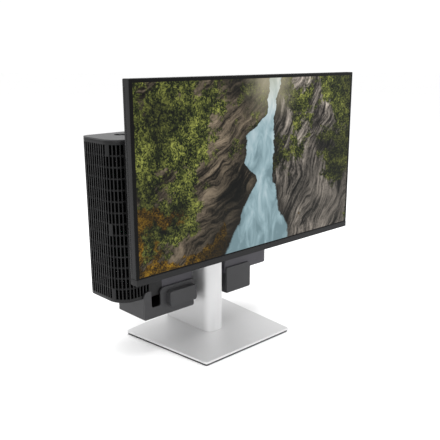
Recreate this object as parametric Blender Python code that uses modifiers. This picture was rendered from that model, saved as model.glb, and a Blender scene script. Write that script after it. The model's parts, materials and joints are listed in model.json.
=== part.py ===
"""Mini PC on a monitor stand: vented PC unit, cradle, column stand and tilting monitor.

The named sizes are millimetres; meshes are made in metres, +Z up. The origin is on the
desk under the middle of the base. +X is to the right of someone who faces the screen,
and +Y points back from the screen.
"""
import math

import bmesh
import bpy
from mathutils import Matrix, Vector

MM = 0.001
GAP = 0.3               # clearance between pieces that touch
RUN = 0.08              # radial clearance of a shaft in its hole
EPS = 1.0               # how far a cutter, or a lump that is joined on, runs past a face
ARC_STEPS = 8           # facets of a quarter round
ROD_SIDES = 32          # facets of a round piece, and of a small one
SMALL_SIDES = 24
EDGE_SEGMENTS = 2       # facets of a rounded edge
EDGE_ANGLE = 40         # degrees: sharper edges are rounded
SMOOTH_ANGLE = 35       # degrees: flatter edges are shaded smooth
WELD = 1e-6             # metres

# Base
BASE_FRONT_HALF = 112.1
BASE_BACK_HALF = 131.8
BASE_FRONT_Y = -116.2
BASE_SIDE_BACK_Y = 101.9
BASE_BOW = 12.0         # how far the back edge bows out in the middle
BASE_BOW_STEPS = 12
BASE_CORNER_R = 4.0
PAD_T = 0.6
PAD_INSET = 6.0
UNDERLAY_T = 2.8
UNDERLAY_INSET = 0.9
PLATE_T = 4.0
PLATE_ROUND = 0.9
SCREW_FRONT = 30.0      # column screws, in from the foot's front and back faces
SCREW_REAR = 25.0
SCREW_R = 3.0
SCREW_HEAD_R = 7.0
SCREW_UP = 9.0          # end of the shank above the column's lower edge

# Column
COLUMN_HALF_W = 23.0
COLUMN_FRONT_Y = -25.0
COLUMN_FRONT_R = 19.4
COLUMN_BACK_R = 2.0
MAST_DEPTH = 51.0
FOOT_DEPTH = 133.0
FOOT_TOP_Z = 66.0
MAST_TOP_Z = 424.0
MAST_WALL = 3.0
FOOT_WALL = 3.4
FOOT_PLATE_T = 5.0
FOOT_PLATE_SIDE = 2.6   # foot plate's side space in the foot's hollow
FOOT_PLATE_FRONT = 12.0  # its ends, in from the foot's front and back faces
FOOT_PLATE_BACK = 10.0
SLOT_HALF_W = 11.0
SLOT_OVER = 27.0        # slot past the tilt axis at each end of its travel
CAP_T = 3.7
RAIL_T = 4.0
RAIL_SIDE = 2.0
RAIL_OVER = 34.0        # rail below the tilt axis at its lowest
RAIL_DROP = 8.0         # rail's top below the mast's
ANCHOR_HALF_W = 8.0     # where the spring's strip is held
ANCHOR_H = 3.5
ANCHOR_DROP = 0.5

# Screen
SCREEN_W = 537.8
SCREEN_H = 314.65
SCREEN_BOTTOM_Z = 197.0
SCREEN_FRONT_Y = -133.0
FRAME_DEPTH = 15.5
FRAME_WALL = 2.2
CHIN_H = 10.4
CHIN_PROUD = 0.2
CHIN_WALL = 2.5
CHIN_FRONT_T = 3.0
CHIN_END_T = 4.0
CELL_T = 1.6
CELL_INSET = 0.5
GUIDE_T = 3.0
BACKPLATE_T = 1.0
LAYER_CLEAR = 0.5       # round the layers in the frame
COVER_WALL = 2.5
COVER_INSET = 0.6
BULGE_HALF_W = 170.0
BULGE_HALF_H = 110.0
BULGE_TAPER = 0.86
BULGE_BACK_Y = -85.0
BOARD_T = 1.6
BOARD_STAND = 4.0       # screen's boards behind the cover's flat wall
SCALER_BOARD = ((-130.0, -20.0), (-20.0, 60.0))    # X, and Z from the tilt axis
POWER_BOARD = ((10.0, 135.0), (-70.0, 40.0))
JOYSTICK_IN = 62.0      # the two keys, in from the screen's right side
SCREEN_KEY_IN = 38.0
SCREEN_KEY_UP = 26.0
SCREEN_KEY_T = 5.5
SCREEN_KEY_IN_Y = 1.0   # key's middle in front of the cover's inner face
VESA_PITCH = 100.0
VESA_PLATE = 116.0
VESA_T = 2.0
VESA_SCREW_R = 2.0
VESA_HEAD_R = 4.0
VESA_HEAD_T = 2.0
VESA_SHANK = 5.0
VESA_SIDES = 16

# Lift, tilt and turn
LIFT_DOWN = 65.0
LIFT_UP = 35.0
PIVOT_Y = -54.0         # tilt axis
PIN_R = 4.0
PIN_PROUD = 1.5
EAR_IN = 22.0
EAR_T = 6.0
KNUCKLE_R = 8.0
KNUCKLE_SIDE = 0.5
ARM_BACK = 16.0         # arm bracket's front face behind the tilt axis
ARM_CLEAR = 6.3         # its back face in front of the column
ARM_HALF_H = 24.0
CARRIAGE_SIDE = 3.0     # carriage's side space in the mast's hollow
CARRIAGE_FRONT_Y = -14.0
CARRIAGE_HALF_H = 20.0
NECK_HALF_W = 9.0
NECK_HALF_H = 14.0
SHOE_W = 4.5
SHOE_INSET = 0.5
SHOE_HALF_H = 18.0
DRUM_R = 9.0
DRUM_DROP = 34.3        # drum axis below the tilt axis
DRUM_Y = -2.0
DRUM_AXLE_R = 2.0
DRUM_SIDE = 0.5
DRUM_OVER = 0.5         # drum behind the carriage's body
DRUM_EAR_T = 3.5
DRUM_EAR_INSET = 1.0
DRUM_EAR_HALF_D = 5.0
DRUM_EAR_UNDER = 6.0
HEAD_REACH = 16.0       # head disc's back face in front of the tilt axis
HEAD_DISC_R = 34.0
HEAD_DISC_T = 6.0
HEAD_DISC_SIDES = 40
HEAD_NECK_HALF_H = 6.3
STUB_R = 8.0
STUB_REACH = 6.0
RELEASE_HALF_W = 8.0
RELEASE_SIDE = 0.5      # button inside the disc's two faces
RELEASE_TOP = 28.5      # button's ends below the tilt axis
RELEASE_LOW = 42.0
RELEASE_ROOM = 4.5      # free height over the button
RELEASE_ROUND = 0.8
TURN_PLATE_R = 30.0

# Computer
PC_LEFT = -212.0
PC_RIGHT = 169.2
PC_FRONT_Y = -1.5
PC_DEPTH = 105.0
PC_BOTTOM_Z = 112.5
PC_H = 293.5
PC_WALL = 2.5
PC_TOP_T = 2.5
PC_TOP_ROUND = 0.8
PC_FRONT_CORNER_R = 33.7
PC_BACK_CORNER_R = 17.0
PC_RIGHT_CORNER_R = 13.0
CHANNEL_CLEAR = 20.0    # side space between mast and computer
CHANNEL_BACK_CLEAR = 3.0
CHANNEL_R = 3.0
SHEET_T = 2.0           # steel sheet inside
VENT_END_X = -119.5     # where the vented cover meets the plain front panel
VENT_BACK_END_X = -190.0
RIGHT_BACK_END_X = 140.0
GRILLE_PITCH = 6.86     # one rib and one slot
GRILLE_FIRST = -8       # first slot column, counted from the corner column
GRILLE_LAST = 10
GRILLE_STEP = 2         # the solid carries every second column
GRILLE_OFFSET = 10.5    # corner column's place along the corner arc
GRILLE_ROWS = 7
GRILLE_RIM = 4.2
SLOT_W = 4.0
BAR_H = 2.4
REAR_VENTS = 7
REAR_VENT_X = 60.0
REAR_VENT_W = 4.0
REAR_VENT_PITCH = 9.0
REAR_VENT_UP = (40.0, 150.0)    # above the computer's underside
LATCH_X = -150.0
LATCH_Y = 65.0
LATCH_HOLE_R = 13.0
LATCH_HALF_W = 17.0
LATCH_HALF_D = 15.0
LATCH_T = 3.0
RIDGE_HALF_W = 1.5
RIDGE_HALF_D = 6.0
RIDGE_H = 2.0
BUTTON_R = 6.0
BUTTON_CLEAR = 0.3
PC_BUTTON_T = 6.0
PC_BUTTON_Y = 60.0
PC_BUTTON_DROP = 46.0   # power button's centre below the top
PC_BUTTON_IN = 2.2      # its middle inside the right face
FRONT_PORTS = 3
FRONT_PORT_DROP = 30.0  # first socket below the power button
FRONT_PORT_PITCH = 16.0
FRONT_PORT_HALF_W = 2.6
FRONT_PORT_HALF_H = 6.5
FRONT_PORT_DEPTH = 6.0
IO_BOARD_IN = (20.0, 6.5)       # in from the right face
IO_BOARD_SIDE = 7.4     # board's near face beside the sockets' middle
IO_BOARD_SPAN = (-70.0, 20.0)   # from the power button's centre

# Inside the computer: places along X, and heights above its underside
PLATE_BACK_CLEAR = 13.5  # board plate in from the rear panel
PLATE_LEFT_IN = 14.0
PLATE_RIGHT_IN = 12.0
PLATE_DROP = 4.0
MOTHERBOARD_X = (-190.0, -20.0)
MOTHERBOARD_UP = (57.0, 227.0)
BOARD_OFF_PLATE = 0.8
HEATSINK_X = (-148.0, -84.0)
HEATSINK_D = 40.0
HEATSINK_HALF_H = 33.0
HEATSINK_FINS = 8
HEATSINK_BASE_T = 6.0
MEMORY_X = -70.0
MEMORY_PITCH = 8.0
MEMORY_T = 3.0
MEMORY_D = 30.0
MEMORY_UP = (75.0, 208.0)
SSD_T = 4.0
SSD_UP = (65.0, 87.0)
CADDY_X = (-12.0, 96.0)
CADDY_D = 19.0
CADDY_WALL = 3.5
CADDY_FLOOR_T = 5.0
CADDY_DROP = 8.0        # caddy's upper edge below the top
DRIVE_DROP = 86.0       # caddy's lower edge below the top
DRIVE_CLEAR = 0.5
DRIVE_Y = (17.0, 8.0)   # drive's faces in front of the board plate
PORT_BLOCK_X = (-140.0, -60.0)
PORT_BLOCK_Y = (32.0, 5.0)      # in front of the board plate
PORT_BLOCK_TOP = 30.0
PORT_WINDOW_CLEAR = 2.0
PORTS = 4
PORT_IN = 6.0
PORT_PITCH = 18.0
PORT_W = 13.0
PORT_Y = (22.0, 14.0)
PORT_TOP = 18.0
SUPPLY_GAP = 34.7       # free height between supply and caddy
SUPPLY_LEFT_IN = 12.0
SUPPLY_RIGHT_IN = 10.0
SUPPLY_FRONT_Y = 10.0
SUPPLY_BACK_CLEAR = 3.0
SUPPLY_UP = 8.0
SUPPLY_WALL = 1.2

# Fan
FAN_SIZE = 80.0
FAN_T = 20.0
FAN_X = -178.0
FAN_Z = 255.0
FAN_FRONT = 3.0         # frame behind the front wall's inner face
FAN_CLEAR = 1.0         # space kept free round the frame
FAN_BLADES = 7
FAN_HUB_R = 14.0
FAN_BLADE_R = 35.0
FAN_BORE_R = 37.0
FAN_BORE_SIDES = 40
STRUT_T = 2.5
STRUT_HALF_W = 2.0
ROTOR_FRONT = 2.0       # rotor inside the frame's two faces
ROTOR_BACK = 3.5
BLADE_T = 1.4
BLADE_CHORD = 15.0
BLADE_ROOT = 3.0        # blade's root inside the hub
BLADE_ANGLE = 38.0

# Cradle
CRADLE_LEFT = -163.4
CRADLE_RIGHT = 113.5
CRADLE_BOTTOM_Z = 70.2
CRADLE_DEPTH = 84.7
CRADLE_WALL = 2.5
CRADLE_FRONT_T = 3.0
CRADLE_FRONT_CLEAR = 0.5        # between the computer and the front panels
CRADLE_CLEAR = 21.7     # side space between mast and cradle
CRADLE_SLOT_CLEAR = 1.0
CRADLE_FRONT_R = 1.0
CRADLE_BACK_R = 8.0
BRACKET_LEFT_IN = 40.0
BRACKET_RIGHT_IN = 30.0
BRACKET_FRONT_CLEAR = 10.0
BRACKET_BACK_IN = 4.0
LIP_H = 12.2            # front panel above the computer's underside
LIP_R = 10.0
LIP_RIGHT_R = 8.0
PANEL_EDGE_R = 1.0
PANEL_CORNER_R = 3.0
PANEL_LOW_R = 4.0
NOTCH_LEFT = 16.4       # cable notch, from the cradle's left side
NOTCH_W = 21.5
NOTCH_SILL = 20.8       # notch's sill above the cradle's underside
NOTCH_R = 5.0
NOTCH_SHOULDER_R = 9.0

# Cable door on the cradle
DOOR_RIGHT_INSET = 1.3  # from the left panel's inner end
DOOR_W = 65.0
DOOR_BOTTOM = 15.8      # above the cradle's underside
DOOR_H = 29.7
DOOR_DEPTH = 10.6
DOOR_BACK_GAP = 0.4
DOOR_R = 4.0
DOOR_WALL = 1.6
DOOR_FACE_T = 2.0
DOOR_PIN_R = 1.5
DOOR_PIN_END = 1.25     # pin and its bore, in from the door's side walls
DOOR_BORE_END = 0.5
DOOR_EAR_R = 2.6
DOOR_EAR_W = 3.5
DOOR_EAR_GAP = 0.5
DOOR_EAR_NECK = 2.4     # half the height of an ear's neck
DOOR_LUG_IN = 5.0
DOOR_LUG_W = 4.0
DOOR_LUG_R = (2.5, 2.7)  # lug past the pin's axis, to the back and up
DOOR_LUG_UP = 0.4
DOOR_PIN_OUT = 5.5      # pin's axis in front of the front panel
DOOR_PIN_UP = 4.6       # pin's axis above the door's lower edge
DOOR_SWING = (1.0, 3.0)  # open space from the pin's axis, to the back and up
WINDOW_IN = 4.0         # window in the panel behind the door
WINDOW_TOP_IN = 3.0
WINDOW_R = 3.0

# Worked-out levels and places
UNDERLAY_Z = PAD_T + GAP
PLATE_Z = UNDERLAY_Z + UNDERLAY_T + GAP
BASE_TOP = PLATE_Z + PLATE_T
COLUMN_Z = BASE_TOP + GAP
MAST_BACK_Y = COLUMN_FRONT_Y + MAST_DEPTH
MAST_INNER_BACK = MAST_BACK_Y - MAST_WALL
FOOT_BACK_Y = COLUMN_FRONT_Y + FOOT_DEPTH
SCREEN_TOP_Z = SCREEN_BOTTOM_Z + SCREEN_H
TILT_Z = SCREEN_BOTTOM_Z + SCREEN_H / 2
FRAME_BACK_Y = SCREEN_FRONT_Y + FRAME_DEPTH
DRUM_Z = TILT_Z - DRUM_DROP
PC_TOP_Z = PC_BOTTOM_Z + PC_H
PC_BACK_Y = PC_FRONT_Y + PC_DEPTH
PC_WALL_TOP = PC_TOP_Z - PC_TOP_T - GAP
PC_INNER_Z = PC_BOTTOM_Z + PC_WALL + GAP
CHANNEL_HALF = COLUMN_HALF_W + CHANNEL_CLEAR
CHANNEL_Y = MAST_BACK_Y + CHANNEL_BACK_CLEAR
BOARD_PLATE_Y = PC_BACK_Y - PLATE_BACK_CLEAR - SHEET_T
BOARD_FACE_Y = BOARD_PLATE_Y - BOARD_OFF_PLATE - BOARD_T
FAN_Y = PC_FRONT_Y + PC_WALL + FAN_FRONT
CRADLE_HALF = COLUMN_HALF_W + CRADLE_CLEAR
CRADLE_PANEL_BACK = PC_FRONT_Y - CRADLE_FRONT_CLEAR
CRADLE_FRONT_Y = CRADLE_PANEL_BACK - CRADLE_FRONT_T
CRADLE_Y = CRADLE_PANEL_BACK + GAP
CRADLE_BACK_Y = CRADLE_Y + CRADLE_DEPTH
CRADLE_TOP_Z = PC_BOTTOM_Z - GAP
LIP_TOP_Z = PC_BOTTOM_Z + LIP_H


def clear_scene():
    """Remove the start-up objects."""
    for old in list(bpy.data.objects):
        bpy.data.objects.remove(old, do_unlink=True)


def make_collection(name):
    """A new collection in the scene."""
    collection = bpy.data.collections.new(name)
    bpy.context.scene.collection.children.link(collection)
    return collection


def make_material(name, color, roughness, metallic):
    """A plain surface of one colour."""
    material = bpy.data.materials.new(name)
    material.use_nodes = True
    shader = material.node_tree.nodes["Principled BSDF"]
    shader.inputs["Base Color"].default_value = (*color, 1.0)
    shader.inputs["Roughness"].default_value = roughness
    shader.inputs["Metallic"].default_value = metallic
    material.diffuse_color = (*color, 1.0)
    return material


clear_scene()
PARTS = make_collection("mini_pc_and_monitor")
CUTTERS = make_collection("cutters")
SILVER = make_material("satin_silver", (0.62, 0.62, 0.63), 0.32, 1.0)
BLACK = make_material("black_plastic", (0.012, 0.012, 0.013), 0.5, 0.0)
CHARCOAL = make_material("charcoal_plastic", (0.07, 0.07, 0.072), 0.55, 0.0)
BEZEL = make_material("bezel_grey", (0.05, 0.05, 0.052), 0.5, 0.0)
GLASS = make_material("panel_black", (0.01, 0.01, 0.01), 0.15, 0.0)
CLEAR = make_material("light_guide_clear", (0.8, 0.85, 0.88), 0.1, 0.0)
STEEL = make_material("zinc_steel", (0.55, 0.55, 0.56), 0.4, 1.0)
BOARD = make_material("circuit_green", (0.02, 0.12, 0.06), 0.45, 0.0)
ALLOY = make_material("fin_aluminium", (0.7, 0.71, 0.72), 0.35, 1.0)
RUBBER = make_material("black_rubber", (0.02, 0.02, 0.02), 0.85, 0.0)


def link(mesh, name, material, location=(0, 0, 0), rotation=(0, 0, 0)):
    """Put a mesh in the scene: a part when it has a material, a cutter when it has none."""
    obj = bpy.data.objects.new(name, mesh)
    obj.location = Vector(location)
    obj.rotation_euler = rotation
    if material is None:
        CUTTERS.objects.link(obj)
        obj.hide_render = True
        obj.display_type = "WIRE"
    else:
        PARTS.objects.link(obj)
        mesh.materials.clear()
        mesh.materials.append(material)
    return obj


def block(name, x, y, z, material=None, bevel=0.0):
    """A box between two corners, each axis given as (low, high)."""
    size = Vector((x[1] - x[0], y[1] - y[0], z[1] - z[0])) * MM
    centre = Vector((x[0] + x[1], y[0] + y[1], z[0] + z[1])) * (MM / 2)
    bm = bmesh.new()
    bmesh.ops.create_cube(bm, size=1.0, matrix=Matrix.Diagonal((*size, 1.0)))
    mesh = bpy.data.meshes.new(name)
    bm.to_mesh(mesh)
    bm.free()
    obj = link(mesh, name, material, centre)
    if bevel:
        soften(obj, bevel)
    return obj


def soften(obj, width):
    """Round an object's edges."""
    bevel = obj.modifiers.new("edges", "BEVEL")
    bevel.width = width * MM
    bevel.segments = EDGE_SEGMENTS
    bevel.limit_method = "ANGLE"
    bevel.angle_limit = math.radians(EDGE_ANGLE)


def rod(name, centre, radius, length, axis, material=None, sides=ROD_SIDES):
    """A cylinder centred on a point, along X, Y or Z."""
    turn = {"X": (0, math.pi / 2, 0), "Y": (math.pi / 2, 0, 0), "Z": (0, 0, 0)}[axis]
    bm = bmesh.new()
    bmesh.ops.create_cone(bm, cap_ends=True, segments=sides, radius1=radius * MM,
                          radius2=radius * MM, depth=length * MM)
    mesh = bpy.data.meshes.new(name)
    bm.to_mesh(mesh)
    bm.free()
    mesh.shade_smooth()
    mesh.set_sharp_from_angle(angle=math.radians(SMOOTH_ANGLE))
    return link(mesh, name, material, Vector(centre) * MM, turn)


def rounded(corners, steps=ARC_STEPS):
    """A closed outline from (x, y, radius) corners, each fillet as an arc."""
    points = []
    count = len(corners)
    for index, (x, y, radius) in enumerate(corners):
        here = Vector((x, y))
        before = (Vector(corners[index - 1][:2]) - here).normalized()
        after = (Vector(corners[(index + 1) % count][:2]) - here).normalized()
        points += fillet(here, before, after, radius, steps)
    return points


def fillet(here, before, after, radius, steps):
    """The arc that rounds one corner, or the corner itself when its radius is 0."""
    if radius <= 0:
        return [here]
    half = before.angle(after) / 2
    centre = here + (before + after).normalized() * (radius / math.sin(half))
    start = here + before * (radius / math.tan(half)) - centre
    end = here + after * (radius / math.tan(half)) - centre
    first = math.atan2(start.y, start.x)
    sweep = math.atan2(end.y, end.x) - first
    sweep = (sweep + math.pi) % (2 * math.pi) - math.pi
    return [centre + radius * Vector((math.cos(first + sweep * i / steps),
                                      math.sin(first + sweep * i / steps)))
            for i in range(steps + 1)]


def open_path(corners, steps=ARC_STEPS):
    """An open line through (x, y, radius) corners; the two ends stay sharp."""
    points = [Vector(corners[0][:2])]
    for index in range(1, len(corners) - 1):
        here = Vector(corners[index][:2])
        before = (Vector(corners[index - 1][:2]) - here).normalized()
        after = (Vector(corners[index + 1][:2]) - here).normalized()
        points += fillet(here, before, after, corners[index][2], steps)
    points.append(Vector(corners[-1][:2]))
    return points


def thick_path(path, thickness):
    """Close an open line into a wall that lies on its left-hand side."""
    inner = []
    for index, point in enumerate(path):
        into = path[index] - path[index - 1] if index else path[1] - path[0]
        out = path[index + 1] - point if index + 1 < len(path) else into
        normal = (into.normalized() + out.normalized()).normalized()
        normal = Vector((-normal.y, normal.x))
        square = Vector((-into.y, into.x)).normalized()
        inner.append(point + normal * (thickness / normal.dot(square)))
    return path + inner[::-1]


def slab(name, outline, low, high, axis="Z", material=None):
    """A flat outline extruded along an axis: XY outlines along Z, XZ along Y, YZ along X."""
    curve = bpy.data.curves.new(name, "CURVE")
    curve.dimensions = "2D"
    curve.fill_mode = "BOTH"
    curve.extrude = (high - low) / 2 * MM
    spline = curve.splines.new("POLY")
    spline.points.add(len(outline) - 1)
    for point, place in zip(spline.points, outline):
        point.co = (place[0] * MM, place[1] * MM, 0, 1)
    spline.use_cyclic_u = True
    middle = (low + high) / 2 * MM
    turn, location = {
        "Z": ((0, 0, 0), (0, 0, middle)),
        "Y": ((math.pi / 2, 0, 0), (0, middle, 0)),
        "X": ((math.pi / 2, 0, math.pi / 2), (middle, 0, 0)),
    }[axis]
    drawn = bpy.data.objects.new(name + "_outline", curve)
    CUTTERS.objects.link(drawn)
    bpy.context.view_layer.update()
    shape = drawn.evaluated_get(bpy.context.evaluated_depsgraph_get())
    mesh = bpy.data.meshes.new_from_object(shape)
    bpy.data.objects.remove(drawn, do_unlink=True)
    bm = bmesh.new()
    bm.from_mesh(mesh)
    bmesh.ops.remove_doubles(bm, verts=bm.verts, dist=WELD)
    bmesh.ops.recalc_face_normals(bm, faces=bm.faces)
    bm.to_mesh(mesh)
    bm.free()
    return link(mesh, name, material, location, turn)


def combine(target, operation, *tools):
    """Change a piece with others, by difference or union."""
    for tool in tools:
        step = target.modifiers.new(tool.name, "BOOLEAN")
        step.operation = operation
        step.object = tool
        step.solver = "EXACT"
    return target


def cut(target, *tools):
    """Take the other shapes away from a piece."""
    return combine(target, "DIFFERENCE", *tools)


def join(target, *tools):
    """Make a piece one body with the other shapes."""
    return combine(target, "UNION", *tools)


def joint_axis(name, place, *pieces, parent=None):
    """An empty on a joint's axis that carries the pieces that move about it."""
    empty = bpy.data.objects.new(name, None)
    empty.location = Vector(place) * MM
    PARTS.objects.link(empty)
    bpy.context.view_layer.update()
    for piece in pieces:
        piece.parent = empty
        piece.matrix_parent_inverse = empty.matrix_world.inverted()
    if parent:
        empty.parent = parent
        empty.matrix_parent_inverse = parent.matrix_world.inverted()
    return empty


# ---------------------------------------------------------------- stand


def base_outline(inset):
    """The base in plan: a trapezium that widens to the back, with a bowed back edge."""
    front = BASE_FRONT_Y + inset
    back = BASE_SIDE_BACK_Y - inset
    front_half = BASE_FRONT_HALF - inset
    back_half = BASE_BACK_HALF - inset
    corners = [(-front_half, front, BASE_CORNER_R), (front_half, front, BASE_CORNER_R),
               (back_half, back, BASE_CORNER_R)]
    for step in range(1, BASE_BOW_STEPS):
        share = 1 - 2 * step / BASE_BOW_STEPS
        corners.append((back_half * share, back + BASE_BOW * (1 - share ** 2), 0))
    corners.append((-back_half, back, BASE_CORNER_R))
    return rounded(corners, ARC_STEPS // 2)


def column_outline(inset, depth):
    """The column in plan: flat sides, a round front and nearly square back corners."""
    half = COLUMN_HALF_W - inset
    front = COLUMN_FRONT_Y + inset
    back = COLUMN_FRONT_Y + depth - inset
    front_r = COLUMN_FRONT_R - inset
    return rounded([(-half, front, front_r), (half, front, front_r),
                    (half, back, COLUMN_BACK_R), (-half, back, COLUMN_BACK_R)], 2 * ARC_STEPS)


def make_base():
    """Pad, underlay, plate and foot plate, held to the column by two screws."""
    slab("base_pad", base_outline(PAD_INSET), 0, PAD_T, material=RUBBER)
    underlay = slab("base_underlay", base_outline(UNDERLAY_INSET), UNDERLAY_Z,
                    UNDERLAY_Z + UNDERLAY_T, material=CHARCOAL)
    plate = slab("base_plate", base_outline(0), PLATE_Z, BASE_TOP, material=SILVER)
    soften(plate, PLATE_ROUND)
    foot_half = COLUMN_HALF_W - FOOT_WALL - FOOT_PLATE_SIDE
    foot_plate = block("column_foot_plate", (-foot_half, foot_half),
                       (COLUMN_FRONT_Y + FOOT_PLATE_FRONT, FOOT_BACK_Y - FOOT_PLATE_BACK),
                       (COLUMN_Z + GAP, COLUMN_Z + GAP + FOOT_PLATE_T), STEEL)
    head_low = UNDERLAY_Z + GAP
    head_high = UNDERLAY_Z + UNDERLAY_T - GAP
    shank_low = head_high - EPS
    shank_high = COLUMN_Z + SCREW_UP
    for end, y in (("front", COLUMN_FRONT_Y + SCREW_FRONT), ("rear", FOOT_BACK_Y - SCREW_REAR)):
        screw = rod(f"column_screw_{end}", (0, y, (head_low + head_high) / 2), SCREW_HEAD_R,
                    head_high - head_low, "Z", STEEL)
        join(screw, rod(f"shank_{end}", (0, y, (shank_low + shank_high) / 2), SCREW_R,
                        shank_high - shank_low, "Z"))
        cut(underlay, rod(f"counterbore_{end}", (0, y, UNDERLAY_Z), SCREW_HEAD_R + GAP,
                          4 * UNDERLAY_T, "Z"))
        hole = rod(f"screw_hole_{end}", (0, y, BASE_TOP), SCREW_R + GAP, 4 * SCREW_UP, "Z")
        cut(plate, hole)
        cut(foot_plate, hole)


def make_column():
    """The hollow column, its cap and the rail inside it."""
    column = slab("stand_column", column_outline(0, FOOT_DEPTH), COLUMN_Z, MAST_TOP_Z,
                  material=SILVER)
    above_foot = block("above_foot", (-COLUMN_HALF_W - EPS, COLUMN_HALF_W + EPS),
                       (MAST_BACK_Y, FOOT_BACK_Y + EPS), (FOOT_TOP_Z, MAST_TOP_Z + EPS))
    foot_hollow = slab("foot_hollow", column_outline(FOOT_WALL, FOOT_DEPTH), COLUMN_Z - EPS,
                       FOOT_TOP_Z - FOOT_WALL)
    mast_hollow = slab("mast_hollow", column_outline(MAST_WALL, MAST_DEPTH),
                       FOOT_TOP_Z - 2 * FOOT_WALL, MAST_TOP_Z + EPS)
    slot = block("mast_slot", (-SLOT_HALF_W, SLOT_HALF_W),
                 (COLUMN_FRONT_Y - EPS, COLUMN_FRONT_Y + 3 * MAST_WALL),
                 (TILT_Z - LIFT_DOWN - SLOT_OVER, TILT_Z + LIFT_UP + SLOT_OVER))
    cut(column, above_foot, foot_hollow, mast_hollow, slot)
    slab("column_cap", column_outline(0, MAST_DEPTH), MAST_TOP_Z + GAP,
         MAST_TOP_Z + GAP + CAP_T, material=CHARCOAL)
    rail_back = MAST_INNER_BACK - GAP
    rail_half = COLUMN_HALF_W - MAST_WALL - RAIL_SIDE
    rail_top = MAST_TOP_Z - RAIL_DROP
    rail = block("lift_rail", (-rail_half, rail_half), (rail_back - RAIL_T, rail_back),
                 (TILT_Z - LIFT_DOWN - RAIL_OVER, rail_top), STEEL)
    anchor_top = rail_top - ANCHOR_DROP
    join(rail, block("strip_anchor", (-ANCHOR_HALF_W, ANCHOR_HALF_W),
                     (DRUM_Y + DRUM_R + EPS, rail_back - RAIL_T + EPS),
                     (anchor_top - ANCHOR_H, anchor_top)))


# ---------------------------------------------------------------- lift, tilt and turn


def make_lift():
    """The carriage in the mast, its spring drum and the bracket in front of the mast."""
    shoe_back = MAST_INNER_BACK - 2 * GAP - RAIL_T
    body_back = DRUM_Y + DRUM_R - DRUM_OVER
    half = COLUMN_HALF_W - MAST_WALL - CARRIAGE_SIDE
    body_low = TILT_Z - CARRIAGE_HALF_H
    carriage = block("lift_carriage", (-half, half), (CARRIAGE_FRONT_Y, body_back),
                     (body_low, TILT_Z + CARRIAGE_HALF_H), STEEL)
    bracket_front = PIVOT_Y + ARM_BACK
    bracket_back = COLUMN_FRONT_Y - ARM_CLEAR
    join(carriage, block("carriage_neck", (-NECK_HALF_W, NECK_HALF_W),
                         (bracket_back + GAP, CARRIAGE_FRONT_Y + EPS),
                         (TILT_Z - NECK_HALF_H, TILT_Z + NECK_HALF_H)))
    shoe_out = half - SHOE_INSET
    ear_out = half - DRUM_EAR_INSET
    for side in (-1, 1):
        shoe = sorted((side * (shoe_out - SHOE_W), side * shoe_out))
        ear = sorted((side * (ear_out - DRUM_EAR_T), side * ear_out))
        join(carriage, block(f"shoe_{side}", shoe, (body_back - EPS, shoe_back),
                             (TILT_Z - SHOE_HALF_H, TILT_Z + SHOE_HALF_H)))
        join(carriage, block(f"drum_ear_{side}", ear,
                             (DRUM_Y - DRUM_EAR_HALF_D, DRUM_Y + DRUM_EAR_HALF_D),
                             (DRUM_Z - DRUM_EAR_UNDER, body_low + EPS)))
    drum_place = (0, DRUM_Y, DRUM_Z)
    bore = rod("drum_axle_hole", drum_place, DRUM_AXLE_R + RUN, 4 * half, "X")
    cut(carriage, bore)
    axle = rod("drum_axle", drum_place, DRUM_AXLE_R, 2 * shoe_out, "X", STEEL)
    drum = rod("spring_drum", drum_place, DRUM_R, 2 * (ear_out - DRUM_EAR_T - DRUM_SIDE), "X",
               STEEL)
    cut(drum, bore)

    ear_out = EAR_IN + EAR_T
    bracket = block("arm_bracket", (-ear_out, ear_out), (bracket_front, bracket_back),
                    (TILT_Z - ARM_HALF_H, TILT_Z + ARM_HALF_H), CHARCOAL)
    for side in (-1, 1):
        join(bracket, block(f"tilt_ear_{side}", sorted((side * EAR_IN, side * ear_out)),
                            (PIVOT_Y - KNUCKLE_R, bracket_front + EPS),
                            (TILT_Z - KNUCKLE_R, TILT_Z + KNUCKLE_R)))
    cut(bracket, rod("tilt_hole", (0, PIVOT_Y, TILT_Z), PIN_R + RUN, 4 * ear_out, "X"))
    pin = rod("tilt_pin", (0, PIVOT_Y, TILT_Z), PIN_R, 2 * (ear_out + PIN_PROUD), "X", STEEL)
    lift = joint_axis("lift_axis", (0, PIVOT_Y, TILT_Z), carriage, axle, bracket, pin)
    joint_axis("drum_spin_axis", drum_place, drum, parent=lift)
    return lift


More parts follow.
